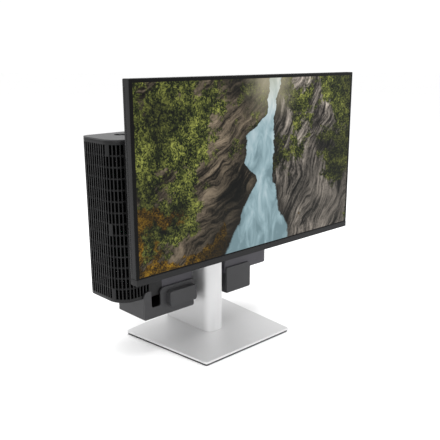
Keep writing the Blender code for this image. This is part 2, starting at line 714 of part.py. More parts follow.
def make_head(lift):
    """The piece that tilts on the pin and carries the turning stub."""
    disc_back = PIVOT_Y - HEAD_REACH
    disc_front = disc_back - HEAD_DISC_T
    head = rod("tilt_head", (0, (disc_back + disc_front) / 2, TILT_Z), HEAD_DISC_R,
               HEAD_DISC_T, "Y", CHARCOAL, HEAD_DISC_SIDES)
    knuckle_half = EAR_IN - KNUCKLE_SIDE
    join(head,
         block("head_neck", (EPS - knuckle_half, knuckle_half - EPS), (disc_back - EPS, PIVOT_Y),
               (TILT_Z - HEAD_NECK_HALF_H, TILT_Z + HEAD_NECK_HALF_H)),
         rod("head_knuckle", (0, PIVOT_Y, TILT_Z), KNUCKLE_R, 2 * knuckle_half, "X"),
         rod("head_stub", (0, disc_front + (EPS - STUB_REACH) / 2, TILT_Z), STUB_R,
             STUB_REACH + EPS, "Y"))
    button_top = TILT_Z - RELEASE_TOP
    cut(head, rod("head_pin_hole", (0, PIVOT_Y, TILT_Z), PIN_R + RUN, 4 * EAR_IN, "X"),
        block("release_slot", (-RELEASE_HALF_W - GAP, RELEASE_HALF_W + GAP),
              (disc_front - EPS, disc_back + EPS),
              (TILT_Z - HEAD_DISC_R - EPS, button_top + RELEASE_ROOM)))
    button = block("release_button", (-RELEASE_HALF_W, RELEASE_HALF_W),
                   (disc_front + RELEASE_SIDE, disc_back - RELEASE_SIDE),
                   (TILT_Z - RELEASE_LOW, button_top), BEZEL, RELEASE_ROUND)
    tilt = joint_axis("tilt_axis", (0, PIVOT_Y, TILT_Z), head, parent=lift)
    joint_axis("release_slide_axis", (0, disc_back, TILT_Z - HEAD_DISC_R), button, parent=tilt)
    return tilt, disc_front


# ---------------------------------------------------------------- screen


def make_panel():
    """The picture panel: cell, light guide and steel back, inside the frame."""
    half = SCREEN_W / 2
    floor = SCREEN_BOTTOM_Z + CHIN_H + GAP
    cell_back = SCREEN_FRONT_Y + CELL_T
    cell = block("lcd_cell", (-half + CELL_INSET, half - CELL_INSET),
                 (SCREEN_FRONT_Y, cell_back), (floor, SCREEN_TOP_Z - CELL_INSET), GLASS)
    frame = block("screen_frame", (-half, half), (cell_back + GAP, FRAME_BACK_Y),
                  (floor, SCREEN_TOP_Z), BEZEL)
    cut(frame, block("frame_window", (-half + FRAME_WALL, half - FRAME_WALL),
                     (SCREEN_FRONT_Y, FRAME_BACK_Y + EPS),
                     (floor + FRAME_WALL, SCREEN_TOP_Z - FRAME_WALL)))
    layers = [cell, frame]
    inset = FRAME_WALL + LAYER_CLEAR
    y = cell_back + 2 * GAP
    for name, thickness, material in (("light_guide", GUIDE_T, CLEAR),
                                      ("panel_backplate", BACKPLATE_T, STEEL)):
        layers.append(block(name, (-half + inset, half - inset), (y, y + thickness),
                            (floor + inset, SCREEN_TOP_Z - inset), material))
        y += thickness + GAP
    chin = block("screen_chin", (-half, half), (SCREEN_FRONT_Y - CHIN_PROUD, FRAME_BACK_Y),
                 (SCREEN_BOTTOM_Z, floor - GAP), BEZEL)
    cut(chin, block("chin_hollow", (-half + CHIN_END_T, half - CHIN_END_T),
                    (SCREEN_FRONT_Y + CHIN_FRONT_T, FRAME_BACK_Y + EPS),
                    (SCREEN_BOTTOM_Z + CHIN_WALL, SCREEN_BOTTOM_Z + CHIN_H - CHIN_WALL)))
    return layers + [chin]


def tapered_block(name, half_w, half_h, y, taper):
    """A box whose back face is smaller than its front face."""
    obj = block(name, (-half_w, half_w), y, (TILT_Z - half_h, TILT_Z + half_h))
    for vertex in obj.data.vertices:
        if vertex.co.y > 0:
            vertex.co.x *= taper
            vertex.co.z *= taper
    return obj


def make_rear_cover():
    """The back shell, its boards, the two keys and the mounting plate with its screws."""
    half = SCREEN_W / 2
    plate_y = FRAME_BACK_Y + GAP
    inner_y = plate_y + COVER_WALL
    cover = block("screen_rear_cover", (-half + COVER_INSET, half - COVER_INSET),
                  (plate_y, inner_y), (SCREEN_BOTTOM_Z + GAP, SCREEN_TOP_Z - COVER_INSET), BEZEL)
    join(cover, tapered_block("bulge", BULGE_HALF_W, BULGE_HALF_H,
                              (inner_y - EPS / 2, BULGE_BACK_Y), BULGE_TAPER))
    cut(cover, tapered_block("bulge_hollow", BULGE_HALF_W - COVER_WALL,
                             BULGE_HALF_H - COVER_WALL,
                             (plate_y - EPS, BULGE_BACK_Y - COVER_WALL), BULGE_TAPER))
    pieces = [cover]
    board_y = inner_y + BOARD_STAND
    for name, (x, z) in (("scaler_board", SCALER_BOARD), ("power_board", POWER_BOARD)):
        pieces.append(block(name, x, (board_y, board_y + BOARD_T),
                            (TILT_Z + z[0], TILT_Z + z[1]), BOARD))
    keys = []
    key_z = SCREEN_BOTTOM_Z + SCREEN_KEY_UP
    for name, x in (("joystick", half - JOYSTICK_IN), ("screen_power_key", half - SCREEN_KEY_IN)):
        cut(cover, rod(name + "_hole", (x, plate_y, key_z), BUTTON_R + BUTTON_CLEAR,
                       4 * COVER_WALL, "Y"))
        keys.append(rod(name, (x, inner_y - SCREEN_KEY_IN_Y, key_z), BUTTON_R, SCREEN_KEY_T, "Y",
                        BLACK, SMALL_SIDES))

    plate_front = BULGE_BACK_Y + GAP
    plate_back = plate_front + VESA_T
    side = VESA_PLATE / 2
    vesa = block("vesa_plate", (-side, side), (plate_front, plate_back),
                 (TILT_Z - side, TILT_Z + side), STEEL)
    for index, (sx, sz) in enumerate(((-1, -1), (1, -1), (-1, 1), (1, 1)), 1):
        x = sx * VESA_PITCH / 2
        z = TILT_Z + sz * VESA_PITCH / 2
        hole = rod(f"vesa_hole_{index}", (x, plate_back, z), VESA_SCREW_R + GAP,
                   4 * VESA_SHANK, "Y")
        cut(vesa, hole)
        cut(cover, hole)
        screw = rod(f"vesa_screw_{index}", (x, plate_back + GAP + VESA_HEAD_T / 2, z),
                    VESA_HEAD_R, VESA_HEAD_T, "Y", STEEL, VESA_SIDES)
        join(screw, rod(f"vesa_shank_{index}", (x, plate_back + (EPS - VESA_SHANK) / 2, z),
                        VESA_SCREW_R, VESA_SHANK + EPS, "Y", sides=VESA_SIDES))
        pieces.append(screw)
    return pieces + [vesa], keys, plate_back


def make_screen(tilt, head_front):
    """The monitor, with the plate that turns on the head's stub."""
    layers = make_panel()
    pieces, keys, vesa_back = make_rear_cover()
    turn_front = vesa_back + GAP
    turn_back = head_front - GAP
    thickness = turn_back - turn_front
    turn_plate = rod("turn_plate", (0, (turn_front + turn_back) / 2, TILT_Z), TURN_PLATE_R,
                     thickness, "Y", STEEL, HEAD_DISC_SIDES)
    cut(turn_plate, rod("turn_bore", (0, turn_back, TILT_Z), STUB_R + RUN, 4 * thickness, "Y"))
    turn = joint_axis("turn_axis", (0, turn_back, TILT_Z), turn_plate, *layers, *pieces,
                      parent=tilt)
    for key in keys:
        joint_axis(key.name + "_axis", key.location / MM, key, parent=turn)


# ---------------------------------------------------------------- cradle


def make_cradle():
    """The tray under the computer, its bracket, its two front panels and the cable door."""
    left, right, half = CRADLE_LEFT, CRADLE_RIGHT, CRADLE_HALF
    wall = CRADLE_WALL
    slot_y = CHANNEL_Y + CRADLE_SLOT_CLEAR
    tray = slab("cradle_tray", rounded([
        (left, CRADLE_Y, CRADLE_FRONT_R), (-half, CRADLE_Y, 0), (-half, slot_y, 0),
        (half, slot_y, 0), (half, CRADLE_Y, 0), (right, CRADLE_Y, CRADLE_FRONT_R),
        (right, CRADLE_BACK_Y, CRADLE_BACK_R), (left, CRADLE_BACK_Y, CRADLE_BACK_R)],
        ARC_STEPS // 2), CRADLE_BOTTOM_Z, CRADLE_TOP_Z, material=CHARCOAL)
    front = CRADLE_Y - EPS
    back = CRADLE_BACK_Y - wall
    inner_r = CRADLE_BACK_R - wall
    cut(tray, slab("cradle_hollow", rounded([
        (left + wall, front, 0), (-half - wall, front, 0), (-half - wall, slot_y + wall, 0),
        (half + wall, slot_y + wall, 0), (half + wall, front, 0), (right - wall, front, 0),
        (right - wall, back, inner_r), (left + wall, back, inner_r)],
        ARC_STEPS // 2), CRADLE_BOTTOM_Z + wall, CRADLE_TOP_Z + EPS))
    block("cradle_bracket", (left + BRACKET_LEFT_IN, right - BRACKET_RIGHT_IN),
          (MAST_BACK_Y + BRACKET_FRONT_CLEAR, CRADLE_BACK_Y - BRACKET_BACK_IN),
          (FOOT_TOP_Z + GAP, CRADLE_BOTTOM_Z - GAP), STEEL)

    notch_left = left + NOTCH_LEFT
    notch_right = notch_left + NOTCH_W
    low, sill, high = CRADLE_BOTTOM_Z, CRADLE_BOTTOM_Z + NOTCH_SILL, LIP_TOP_Z
    panel = slab("cradle_front_left", rounded([
        (left, low, PANEL_EDGE_R), (-half, low, PANEL_CORNER_R), (-half, high, PANEL_EDGE_R),
        (notch_right, high, NOTCH_SHOULDER_R), (notch_right, sill, NOTCH_R),
        (notch_left, sill, NOTCH_R), (notch_left, high, PANEL_CORNER_R), (left, high, LIP_R)]),
        CRADLE_FRONT_Y, CRADLE_PANEL_BACK, "Y", CHARCOAL)
    slab("cradle_front_right", rounded([
        (half, low, PANEL_EDGE_R), (right, low, PANEL_LOW_R), (right, high, LIP_RIGHT_R),
        (half, high, PANEL_EDGE_R)]), CRADLE_FRONT_Y, CRADLE_PANEL_BACK, "Y", CHARCOAL)
    make_door(panel)


def rectangle(x, z, radius):
    """A rectangle with four equal round corners, each axis given as (low, high)."""
    return rounded([(x[0], z[0], radius), (x[1], z[0], radius), (x[1], z[1], radius),
                    (x[0], z[1], radius)], ARC_STEPS // 2)


def make_door(panel):
    """The cable door: a shallow pan on a pin along its lower edge."""
    right = -CRADLE_HALF - DOOR_RIGHT_INSET
    left = right - DOOR_W
    middle = (left + right) / 2
    low = CRADLE_BOTTOM_Z + DOOR_BOTTOM
    high = low + DOOR_H
    back = CRADLE_FRONT_Y - DOOR_BACK_GAP
    front = back - DOOR_DEPTH
    face = front + DOOR_FACE_T
    pin_y = CRADLE_FRONT_Y - DOOR_PIN_OUT
    pin_z = low + DOOR_PIN_UP
    wall = DOOR_WALL
    door = slab("cable_door", rectangle((left, right), (low, high), DOOR_R), front, back, "Y",
                CHARCOAL)
    cut(door,
        slab("door_hollow", rectangle((left + wall, right - wall), (low + wall, high - wall),
                                      DOOR_R - wall), face, back + EPS, "Y"),
        block("door_swing_space", (left - EPS, right + EPS),
              (pin_y + DOOR_SWING[0], back + EPS), (low - EPS, pin_z + DOOR_SWING[1])))
    ears = []
    for side, outer, inward in (("left", left + DOOR_LUG_IN, 1), ("right", right - DOOR_LUG_IN, -1)):
        lug = sorted((outer, outer + inward * DOOR_LUG_W))
        ear_outer = outer + inward * (DOOR_LUG_W + DOOR_EAR_GAP)
        ear = sorted((ear_outer, ear_outer + inward * DOOR_EAR_W))
        join(door, block(f"door_lug_{side}", lug, (front + EPS, pin_y + DOOR_LUG_R[0]),
                         (low + DOOR_LUG_UP, pin_z + DOOR_LUG_R[1])))
        cut(door, block(f"ear_notch_{side}", (ear[0] - DOOR_EAR_GAP, ear[1] + DOOR_EAR_GAP),
                        (face, back + EPS), (low - EPS, low + wall + EPS)))
        ears += [rod(f"ear_knuckle_{side}", (sum(ear) / 2, pin_y, pin_z), DOOR_EAR_R,
                     DOOR_EAR_W, "X", sides=SMALL_SIDES),
                 block(f"ear_neck_{side}", ear, (pin_y, CRADLE_FRONT_Y + EPS),
                       (pin_z - DOOR_EAR_NECK, pin_z + DOOR_EAR_NECK))]
    place = (middle, pin_y, pin_z)
    cut(door, rod("door_pin_bore", place, DOOR_PIN_R + RUN,
                  DOOR_W - 2 * (wall + DOOR_BORE_END), "X", sides=SMALL_SIDES))
    cut(panel, slab("door_window", rectangle((left + WINDOW_IN, right - WINDOW_IN),
                                             (pin_z + WINDOW_IN, high - WINDOW_TOP_IN), WINDOW_R),
                    CRADLE_FRONT_Y - EPS, CRADLE_PANEL_BACK + EPS, "Y"))
    join(panel, *ears)
    cut(panel, rod("door_pin_hole", place, DOOR_PIN_R + RUN, DOOR_W, "X", sides=SMALL_SIDES))
    rod("door_pin", place, DOOR_PIN_R, DOOR_W - 2 * (wall + DOOR_PIN_END), "X", STEEL,
        SMALL_SIDES)
    joint_axis("door_axis", place, door)


# ---------------------------------------------------------------- computer


def vent_path():
    """The vented cover's outer line in plan, from the plain panel round to the back."""
    return [(VENT_BACK_END_X, PC_BACK_Y, 0), (PC_LEFT, PC_BACK_Y, PC_BACK_CORNER_R),
            (PC_LEFT, PC_FRONT_Y, PC_FRONT_CORNER_R), (VENT_END_X, PC_FRONT_Y, 0)]


def grille_place(distance):
    """Point and heading on the outer line, at a distance from the front corner's start."""
    radius = PC_FRONT_CORNER_R
    quarter = radius * math.pi / 2
    if distance < 0:
        return Vector((PC_LEFT, PC_FRONT_Y + radius - distance)), -math.pi / 2
    if distance > quarter:
        return Vector((PC_LEFT + radius + distance - quarter, PC_FRONT_Y)), 0.0
    turn = distance / radius
    centre = Vector((PC_LEFT + radius, PC_FRONT_Y + radius))
    return centre - radius * Vector((math.cos(turn), math.sin(turn))), turn - math.pi / 2


def grille_cutter():
    """One cutter that holds every slot of the vented cover."""
    low = PC_BOTTOM_Z + GRILLE_RIM
    high = PC_TOP_Z - GRILLE_RIM
    row_h = (high - low + BAR_H) / GRILLE_ROWS
    bm = bmesh.new()
    for column in range(GRILLE_FIRST, GRILLE_LAST + 1, GRILLE_STEP):
        place, heading = grille_place(GRILLE_OFFSET + column * GRILLE_PITCH)
        for row in range(GRILLE_ROWS):
            middle = low + row * row_h + (row_h - BAR_H) / 2
            where = Matrix.Translation(Vector((place.x, place.y, middle)) * MM)
            size = Vector((SLOT_W, 4 * PC_WALL, row_h - BAR_H)) * MM
            bmesh.ops.create_cube(bm, size=1.0, matrix=where @ Matrix.Rotation(heading, 4, "Z")
                                  @ Matrix.Diagonal((*size, 1.0)))
    mesh = bpy.data.meshes.new("grille_slots")
    bm.to_mesh(mesh)
    bm.free()
    return link(mesh, "grille_slots", None)


def pc_outline(inset):
    """The computer in plan, with the channel that the mast stands in."""
    left, right = PC_LEFT + inset, PC_RIGHT - inset
    front, back = PC_FRONT_Y + inset, PC_BACK_Y - inset
    half, channel = CHANNEL_HALF + inset, CHANNEL_Y + inset
    return rounded([
        (left, front, PC_FRONT_CORNER_R - inset), (-half, front, 0), (-half, channel, 0),
        (half, channel, 0), (half, front, 0), (right, front, PC_RIGHT_CORNER_R - inset),
        (right, back, PC_RIGHT_CORNER_R - inset), (left, back, PC_BACK_CORNER_R - inset)])


def make_pc_case():
    """The case: vented end, front, right and rear walls, floor, top and spine."""
    z = (PC_BOTTOM_Z, PC_WALL_TOP)
    vent = slab("pc_vent_cover", thick_path(open_path(vent_path()), PC_WALL), *z,
                material=BLACK)
    cut(vent, grille_cutter())
    slab("pc_front_panel", thick_path(open_path([
        (VENT_END_X + GAP, PC_FRONT_Y, 0), (-CHANNEL_HALF, PC_FRONT_Y, CHANNEL_R),
        (-CHANNEL_HALF, CHANNEL_Y - GAP, 0)], ARC_STEPS // 2), PC_WALL), *z, material=CHARCOAL)
    right = slab("pc_right_cover", thick_path(open_path([
        (CHANNEL_HALF, CHANNEL_Y - GAP, 0), (CHANNEL_HALF, PC_FRONT_Y, CHANNEL_R),
        (PC_RIGHT, PC_FRONT_Y, PC_RIGHT_CORNER_R), (PC_RIGHT, PC_BACK_Y, PC_RIGHT_CORNER_R),
        (RIGHT_BACK_END_X, PC_BACK_Y, 0)], ARC_STEPS // 2), PC_WALL), *z, material=CHARCOAL)
    rear = block("pc_rear_panel", (VENT_BACK_END_X + GAP, RIGHT_BACK_END_X - GAP),
                 (PC_BACK_Y - PC_WALL, PC_BACK_Y), z, BLACK)
    for index in range(REAR_VENTS):
        vent_x = REAR_VENT_X + REAR_VENT_PITCH * index
        cut(rear, block(f"rear_vent_{index}", (vent_x, vent_x + REAR_VENT_W),
                        (PC_BACK_Y - 2 * PC_WALL, PC_BACK_Y + EPS),
                        (PC_BOTTOM_Z + REAR_VENT_UP[0], PC_BOTTOM_Z + REAR_VENT_UP[1])))
    floor = slab("pc_floor", pc_outline(PC_WALL + GAP), PC_BOTTOM_Z + GAP,
                 PC_BOTTOM_Z + PC_WALL, material=STEEL)
    cut(floor, block("port_window",
                     (PORT_BLOCK_X[0] - PORT_WINDOW_CLEAR, PORT_BLOCK_X[1] + PORT_WINDOW_CLEAR),
                     (BOARD_PLATE_Y - PORT_BLOCK_Y[0] - PORT_WINDOW_CLEAR,
                      BOARD_PLATE_Y - PORT_BLOCK_Y[1] + PORT_WINDOW_CLEAR),
                     (PC_BOTTOM_Z - EPS, PC_INNER_Z + EPS)))
    top = slab("pc_top_panel", pc_outline(0), PC_TOP_Z - PC_TOP_T, PC_TOP_Z, material=BLACK)
    soften(top, PC_TOP_ROUND)
    cut(top, rod("latch_hole", (LATCH_X, LATCH_Y, PC_TOP_Z), LATCH_HOLE_R, 4 * PC_TOP_T, "Z"))
    block("pc_spine", (-CHANNEL_HALF + GAP, CHANNEL_HALF - GAP),
          (CHANNEL_Y, CHANNEL_Y + SHEET_T), (PC_INNER_Z, PC_WALL_TOP), STEEL)
    make_latch()
    make_pc_button(right)


def make_latch():
    """The slide that frees the vented cover, in the finger hole of the top panel."""
    top = PC_WALL_TOP
    latch = block("cover_latch", (LATCH_X - LATCH_HALF_W, LATCH_X + LATCH_HALF_W),
                  (LATCH_Y - LATCH_HALF_D, LATCH_Y + LATCH_HALF_D), (top - LATCH_T, top),
                  CHARCOAL)
    join(latch, block("latch_ridge", (LATCH_X - RIDGE_HALF_W, LATCH_X + RIDGE_HALF_W),
                      (LATCH_Y - RIDGE_HALF_D, LATCH_Y + RIDGE_HALF_D),
                      (top - EPS, top + RIDGE_H)))
    joint_axis("latch_axis", (LATCH_X, LATCH_Y, top), latch)


def make_pc_button(right_cover):
    """The power button, the three sockets under it and the board behind them."""
    z = PC_TOP_Z - PC_BUTTON_DROP
    cut(right_cover, rod("pc_button_hole", (PC_RIGHT, PC_BUTTON_Y, z),
                         BUTTON_R + BUTTON_CLEAR, 4 * PC_WALL, "X"))
    for index in range(FRONT_PORTS):
        middle = z - FRONT_PORT_DROP - FRONT_PORT_PITCH * index
        cut(right_cover, block(f"front_port_{index}",
                               (PC_RIGHT - FRONT_PORT_DEPTH, PC_RIGHT + EPS),
                               (PC_BUTTON_Y - FRONT_PORT_HALF_W, PC_BUTTON_Y + FRONT_PORT_HALF_W),
                               (middle - FRONT_PORT_HALF_H, middle + FRONT_PORT_HALF_H)))
    button = rod("pc_power_button", (PC_RIGHT - PC_BUTTON_IN, PC_BUTTON_Y, z), BUTTON_R,
                 PC_BUTTON_T, "X", ALLOY, SMALL_SIDES)
    joint_axis("pc_button_axis", (PC_RIGHT, PC_BUTTON_Y, z), button)
    board_back = PC_BUTTON_Y - IO_BOARD_SIDE
    block("front_io_board", (PC_RIGHT - IO_BOARD_IN[0], PC_RIGHT - IO_BOARD_IN[1]),
          (board_back - BOARD_T, board_back), (z + IO_BOARD_SPAN[0], z + IO_BOARD_SPAN[1]), BOARD)


def fin_outline(x, y, fins):
    """A comb in plan: a base plate at the back with fins that point forward."""
    pitch = (x[1] - x[0]) / (fins - 0.5)
    root = y[1] - HEATSINK_BASE_T
    points = [(x[1], y[1], 0), (x[0], y[1], 0)]
    for index in range(fins):
        start = x[0] + index * pitch
        points += [(start, y[0], 0), (start + pitch / 2, y[0], 0)]
        if index + 1 < fins:
            points += [(start + pitch / 2, root, 0), (start + pitch, root, 0)]
    return rounded(points)


def raised(span):
    """A (low, high) pair above the computer's underside, as heights."""
    return PC_BOTTOM_Z + span[0], PC_BOTTOM_Z + span[1]


def make_boards():
    """The board plate and what it carries, with space kept free round the fan."""
    plate = block("pc_board_plate", (PC_LEFT + PLATE_LEFT_IN, PC_RIGHT - PLATE_RIGHT_IN),
                  (BOARD_PLATE_Y, BOARD_PLATE_Y + SHEET_T),
                  (PC_INNER_Z, PC_WALL_TOP - PLATE_DROP), STEEL)
    front = BOARD_FACE_Y
    seat = front - GAP
    board = block("motherboard", MOTHERBOARD_X, (front, front + BOARD_T),
                  raised(MOTHERBOARD_UP), BOARD)
    fan_half = FAN_SIZE / 2 + FAN_CLEAR
    fan_space = block("fan_space", (FAN_X - FAN_CLEAR, FAN_X + FAN_T + FAN_CLEAR),
                      (FAN_Y, FAN_Y + FAN_SIZE + FAN_CLEAR), (FAN_Z - fan_half, FAN_Z + fan_half))
    cut(plate, fan_space)
    cut(board, fan_space)
    slab("cpu_heatsink", fin_outline(HEATSINK_X, (front - HEATSINK_D, seat), HEATSINK_FINS),
         FAN_Z - HEATSINK_HALF_H, FAN_Z + HEATSINK_HALF_H, material=ALLOY)
    for index in (1, 2):
        x = MEMORY_X + MEMORY_PITCH * (index - 1)
        block(f"memory_module_{index}", (x, x + MEMORY_T), (front - MEMORY_D, seat),
              raised(MEMORY_UP), BOARD)
    block("solid_state_drive", HEATSINK_X, (front - SSD_T, seat), raised(SSD_UP), BLACK)


def make_drive():
    """The drive in its caddy, on the board plate."""
    low, high = PC_TOP_Z - DRIVE_DROP, PC_TOP_Z - CADDY_DROP
    caddy = block("drive_caddy", CADDY_X, (BOARD_PLATE_Y - CADDY_D, BOARD_PLATE_Y - GAP),
                  (low, high), BLACK)
    cut(caddy, block("caddy_hollow", (CADDY_X[0] + CADDY_WALL, CADDY_X[1] - CADDY_WALL),
                     (BOARD_PLATE_Y - CADDY_D - EPS, BOARD_PLATE_Y - CADDY_FLOOR_T),
                     (low + CADDY_WALL, high - CADDY_WALL)))
    inset = CADDY_WALL + DRIVE_CLEAR
    block("hard_drive", (CADDY_X[0] + inset, CADDY_X[1] - inset),
          (BOARD_PLATE_Y - DRIVE_Y[0], BOARD_PLATE_Y - DRIVE_Y[1]), (low + inset, high - inset),
          STEEL)


def make_ports():
    """The block of cable sockets, which open downwards through the floor."""
    ports = block("port_block", PORT_BLOCK_X,
                  (BOARD_PLATE_Y - PORT_BLOCK_Y[0], BOARD_PLATE_Y - PORT_BLOCK_Y[1]),
                  (PC_INNER_Z, PC_BOTTOM_Z + PORT_BLOCK_TOP), STEEL)
    for index in range(PORTS):
        x = PORT_BLOCK_X[0] + PORT_IN + PORT_PITCH * index
        cut(ports, block(f"port_{index}", (x, x + PORT_W),
                         (BOARD_PLATE_Y - PORT_Y[0], BOARD_PLATE_Y - PORT_Y[1]),
                         (PC_BOTTOM_Z - EPS, PC_BOTTOM_Z + PORT_TOP)))


def make_supply():
    """The power supply: a thin steel can, open at the top, under the drive."""
    x = (CHANNEL_HALF + SUPPLY_LEFT_IN, PC_RIGHT - SUPPLY_RIGHT_IN)
    y = (SUPPLY_FRONT_Y, BOARD_PLATE_Y - SUPPLY_BACK_CLEAR)
    z = (PC_INNER_Z + SUPPLY_UP, PC_TOP_Z - DRIVE_DROP - SUPPLY_GAP)
    wall = SUPPLY_WALL
    supply = block("power_supply", x, y, z, STEEL)
    cut(supply, block("supply_hollow", (x[0] + wall, x[1] - wall), (y[0] + wall, y[1] - wall),
                      (z[0] + wall, z[1] + EPS)))


def make_fan():
    """The case fan behind the vented side: frame with struts, and a seven-blade rotor."""
    centre_y = FAN_Y + FAN_SIZE / 2
    back_x = FAN_X + FAN_T
    reach = FAN_BORE_R + EPS
    frame = block("fan_frame", (FAN_X, back_x), (FAN_Y, FAN_Y + FAN_SIZE),
                  (FAN_Z - FAN_SIZE / 2, FAN_Z + FAN_SIZE / 2), BLACK)
    cut(frame, rod("fan_bore", (FAN_X + FAN_T / 2, centre_y, FAN_Z), FAN_BORE_R, 2 * FAN_T,
                   "X", sides=FAN_BORE_SIDES))
    strut_x = (back_x - STRUT_T, back_x)
    join(frame,
         block("strut_up", strut_x, (centre_y - STRUT_HALF_W, centre_y + STRUT_HALF_W),
               (FAN_Z - reach, FAN_Z + reach)),
         block("strut_side", strut_x, (centre_y - reach, centre_y + reach),
               (FAN_Z - STRUT_HALF_W, FAN_Z + STRUT_HALF_W)))
    rotor_x = (FAN_X + ROTOR_FRONT, back_x - ROTOR_BACK)
    place = (sum(rotor_x) / 2, centre_y, FAN_Z)
    rotor = rod("fan_rotor", place, FAN_HUB_R, rotor_x[1] - rotor_x[0], "X", BLACK)
    root_r = FAN_HUB_R - BLADE_ROOT
    out = Matrix.Translation(Vector((0, 0, (root_r + FAN_BLADE_R) / 2)) * MM)
    pitch = Matrix.Rotation(math.radians(BLADE_ANGLE), 4, "Z")
    size = Matrix.Diagonal((*(Vector((BLADE_T, BLADE_CHORD, FAN_BLADE_R - root_r)) * MM), 1.0))
    bm = bmesh.new()
    for index in range(FAN_BLADES):
        turn = Matrix.Rotation(2 * math.pi * index / FAN_BLADES, 4, "X")
        bmesh.ops.create_cube(bm, size=1.0, matrix=turn @ out @ pitch @ size)
    blades = bpy.data.meshes.new("fan_blades")
    bm.to_mesh(blades)
    bm.free()
    join(rotor, link(blades, "fan_blades", None, Vector(place) * MM))
    joint_axis("fan_axis", place, rotor)


make_base()
make_column()
LIFT = make_lift()
TILT, HEAD_FRONT = make_head(LIFT)
make_screen(TILT, HEAD_FRONT)
make_cradle()
make_pc_case()
make_boards()
make_drive()
make_ports()
make_supply()
make_fan()
bpy.context.view_layer.update()
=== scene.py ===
"""The looks of a mini PC on a monitor stand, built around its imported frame.

Everything is in metres: +X to the right of someone who faces the screen, +Y back from it, +Z up.
"""
import json
import math

import bmesh
import bpy
from mathutils import Matrix, Vector


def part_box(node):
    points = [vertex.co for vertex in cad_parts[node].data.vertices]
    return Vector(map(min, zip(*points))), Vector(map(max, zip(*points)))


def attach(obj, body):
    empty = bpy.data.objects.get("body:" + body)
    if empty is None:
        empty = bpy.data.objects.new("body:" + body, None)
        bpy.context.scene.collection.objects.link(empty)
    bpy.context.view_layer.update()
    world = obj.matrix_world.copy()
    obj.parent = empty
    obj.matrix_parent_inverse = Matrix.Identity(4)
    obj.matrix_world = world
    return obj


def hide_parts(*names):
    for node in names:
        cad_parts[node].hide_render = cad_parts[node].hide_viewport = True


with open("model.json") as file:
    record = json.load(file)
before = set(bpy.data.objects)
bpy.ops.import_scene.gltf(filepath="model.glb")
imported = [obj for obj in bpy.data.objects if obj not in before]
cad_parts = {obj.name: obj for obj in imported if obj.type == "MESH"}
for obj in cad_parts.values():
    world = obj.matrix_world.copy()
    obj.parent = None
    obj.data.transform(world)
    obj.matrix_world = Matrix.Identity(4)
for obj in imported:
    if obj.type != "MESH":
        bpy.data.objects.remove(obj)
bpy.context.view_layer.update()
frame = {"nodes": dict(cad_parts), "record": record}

RECORD = frame["record"]
SLOT_OF = {entry["node"]: entry["material_slot"] for entry in RECORD["subparts"]}
BODY_OF = {node: body for body, nodes in RECORD["behaviour"]["bodies"].items() for node in nodes}

# Units and mesh care
MM = 0.001
X, Y, Z = range(3)          # axes, as places in a vector
MERGE = 0.002 * MM          # corners closer than this are one
FLAT_ANGLE = 0.4            # degrees; faces within it become one flat
SMOOTH_ANGLE = 32           # degrees; edges that turn by less shade smooth
EDGE_ANGLE = 50             # degrees; edges that turn by more are rounded
SMALL_EDGE_ANGLE = 60       # the same on small pieces
CUT_REACH = 1e-7            # a cut snaps to corners this close
FACING = 0.99               # least share of a normal along an axis for a face that looks that way
FAR_BAND = 0.1 * MM         # depth of the band that counts as a piece's far end
THIN_RIM = 0.05 * MM        # slope of a sunk slot's walls
ALONE = 1.0                 # pitch of a cell that has no neighbour
LONG_EDGE = 60 * MM         # outlines of big covers have only edges longer than this

# Vented cover
CORNER_R = 33.7 * MM
BACK_CORNER_R = 17.0 * MM
BACK_RUN = 22.0 * MM        # cover's reach along the back, from its left side
COVER_T = 2.5 * MM
COVER_EDGE = 0.3 * MM
GRILLE_PITCH = 6.86 * MM
SLOT_W = 4.7 * MM
GRILLE_FIRST = -10          # columns, counted from the one on the corner
GRILLE_LAST = 10
GRILLE_OFFSET = 10.5 * MM   # corner column's place along the corner arc
GRILLE_ROWS = 14
GRILLE_RIM = 6.0 * MM
BAR_H = 1.9 * MM
BAR_RECESS = 1.2 * MM       # cross bars lie behind the ribs
BAR_SLOPE = 0.02 * MM
BAR_AREA = 1.2              # largest cross bar face, as a share of slot width by bar height
BLANK_ROWS = (0, 6, 13)     # cells that stay closed in the corner column
BACK_STEPS = 8              # flats between the back edge's bend and the first column

# Chassis wall behind the cover
WALL_INSET = 4.6 * MM       # from the cover's outer face
WALL_PITCH = 4.4 * MM
WALL_HOLE = 1.5 * MM
WALL_MARGIN = 4 * MM        # above and below the field of holes
WALL_FRONT_RUN = 26 * MM    # wall's reach along the front, past the corner arc
WALL_T = 0.5 * MM

# Monitor frame
HOLE_PITCH = 3.2 * MM
HOLE_W = 2.1 * MM
HOLE_DEPTH = 0.9 * MM
HOLE_MARGIN = 8 * MM        # from the frame's ends to the row of holes
HOLE_BACK = 4.2 * MM        # row's lower side, in from the frame's back
FRAME_EDGE = 0.5 * MM
FRAME_LONG_EDGE = 9 * MM

# Monitor cover
AIR_PITCH = 7 * MM
AIR_W = 4.6 * MM
AIR_H = 2.6 * MM
AIR_DEPTH = 1.1 * MM
AIR_ROWS = 3
AIR_COLUMNS = 36
AIR_LEFT = -126 * MM
AIR_FIELDS = (64 * MM, -84 * MM)    # lowest rows, measured up from the cover's middle
JACK_LEFT = -120 * MM
JACK_PITCH = 24 * MM
JACK_W = 15 * MM
JACK_H = 7 * MM
JACK_UP = 30 * MM           # above the cover's lower edge
JACK_DEPTH = 1.4 * MM
JACK_RIM = 0.4 * MM
JACKS = 5
SKIRT_BAND = 6 * MM         # the flat round the bulge lies within this of the cover's front
SKIRT_AREA = 0.005          # square metres; the flat is larger than this
MONITOR_COVER_EDGE = 1.0 * MM
MONITOR_COVER_ANGLE = 25    # degrees, so that the bulge's slopes are rounded too

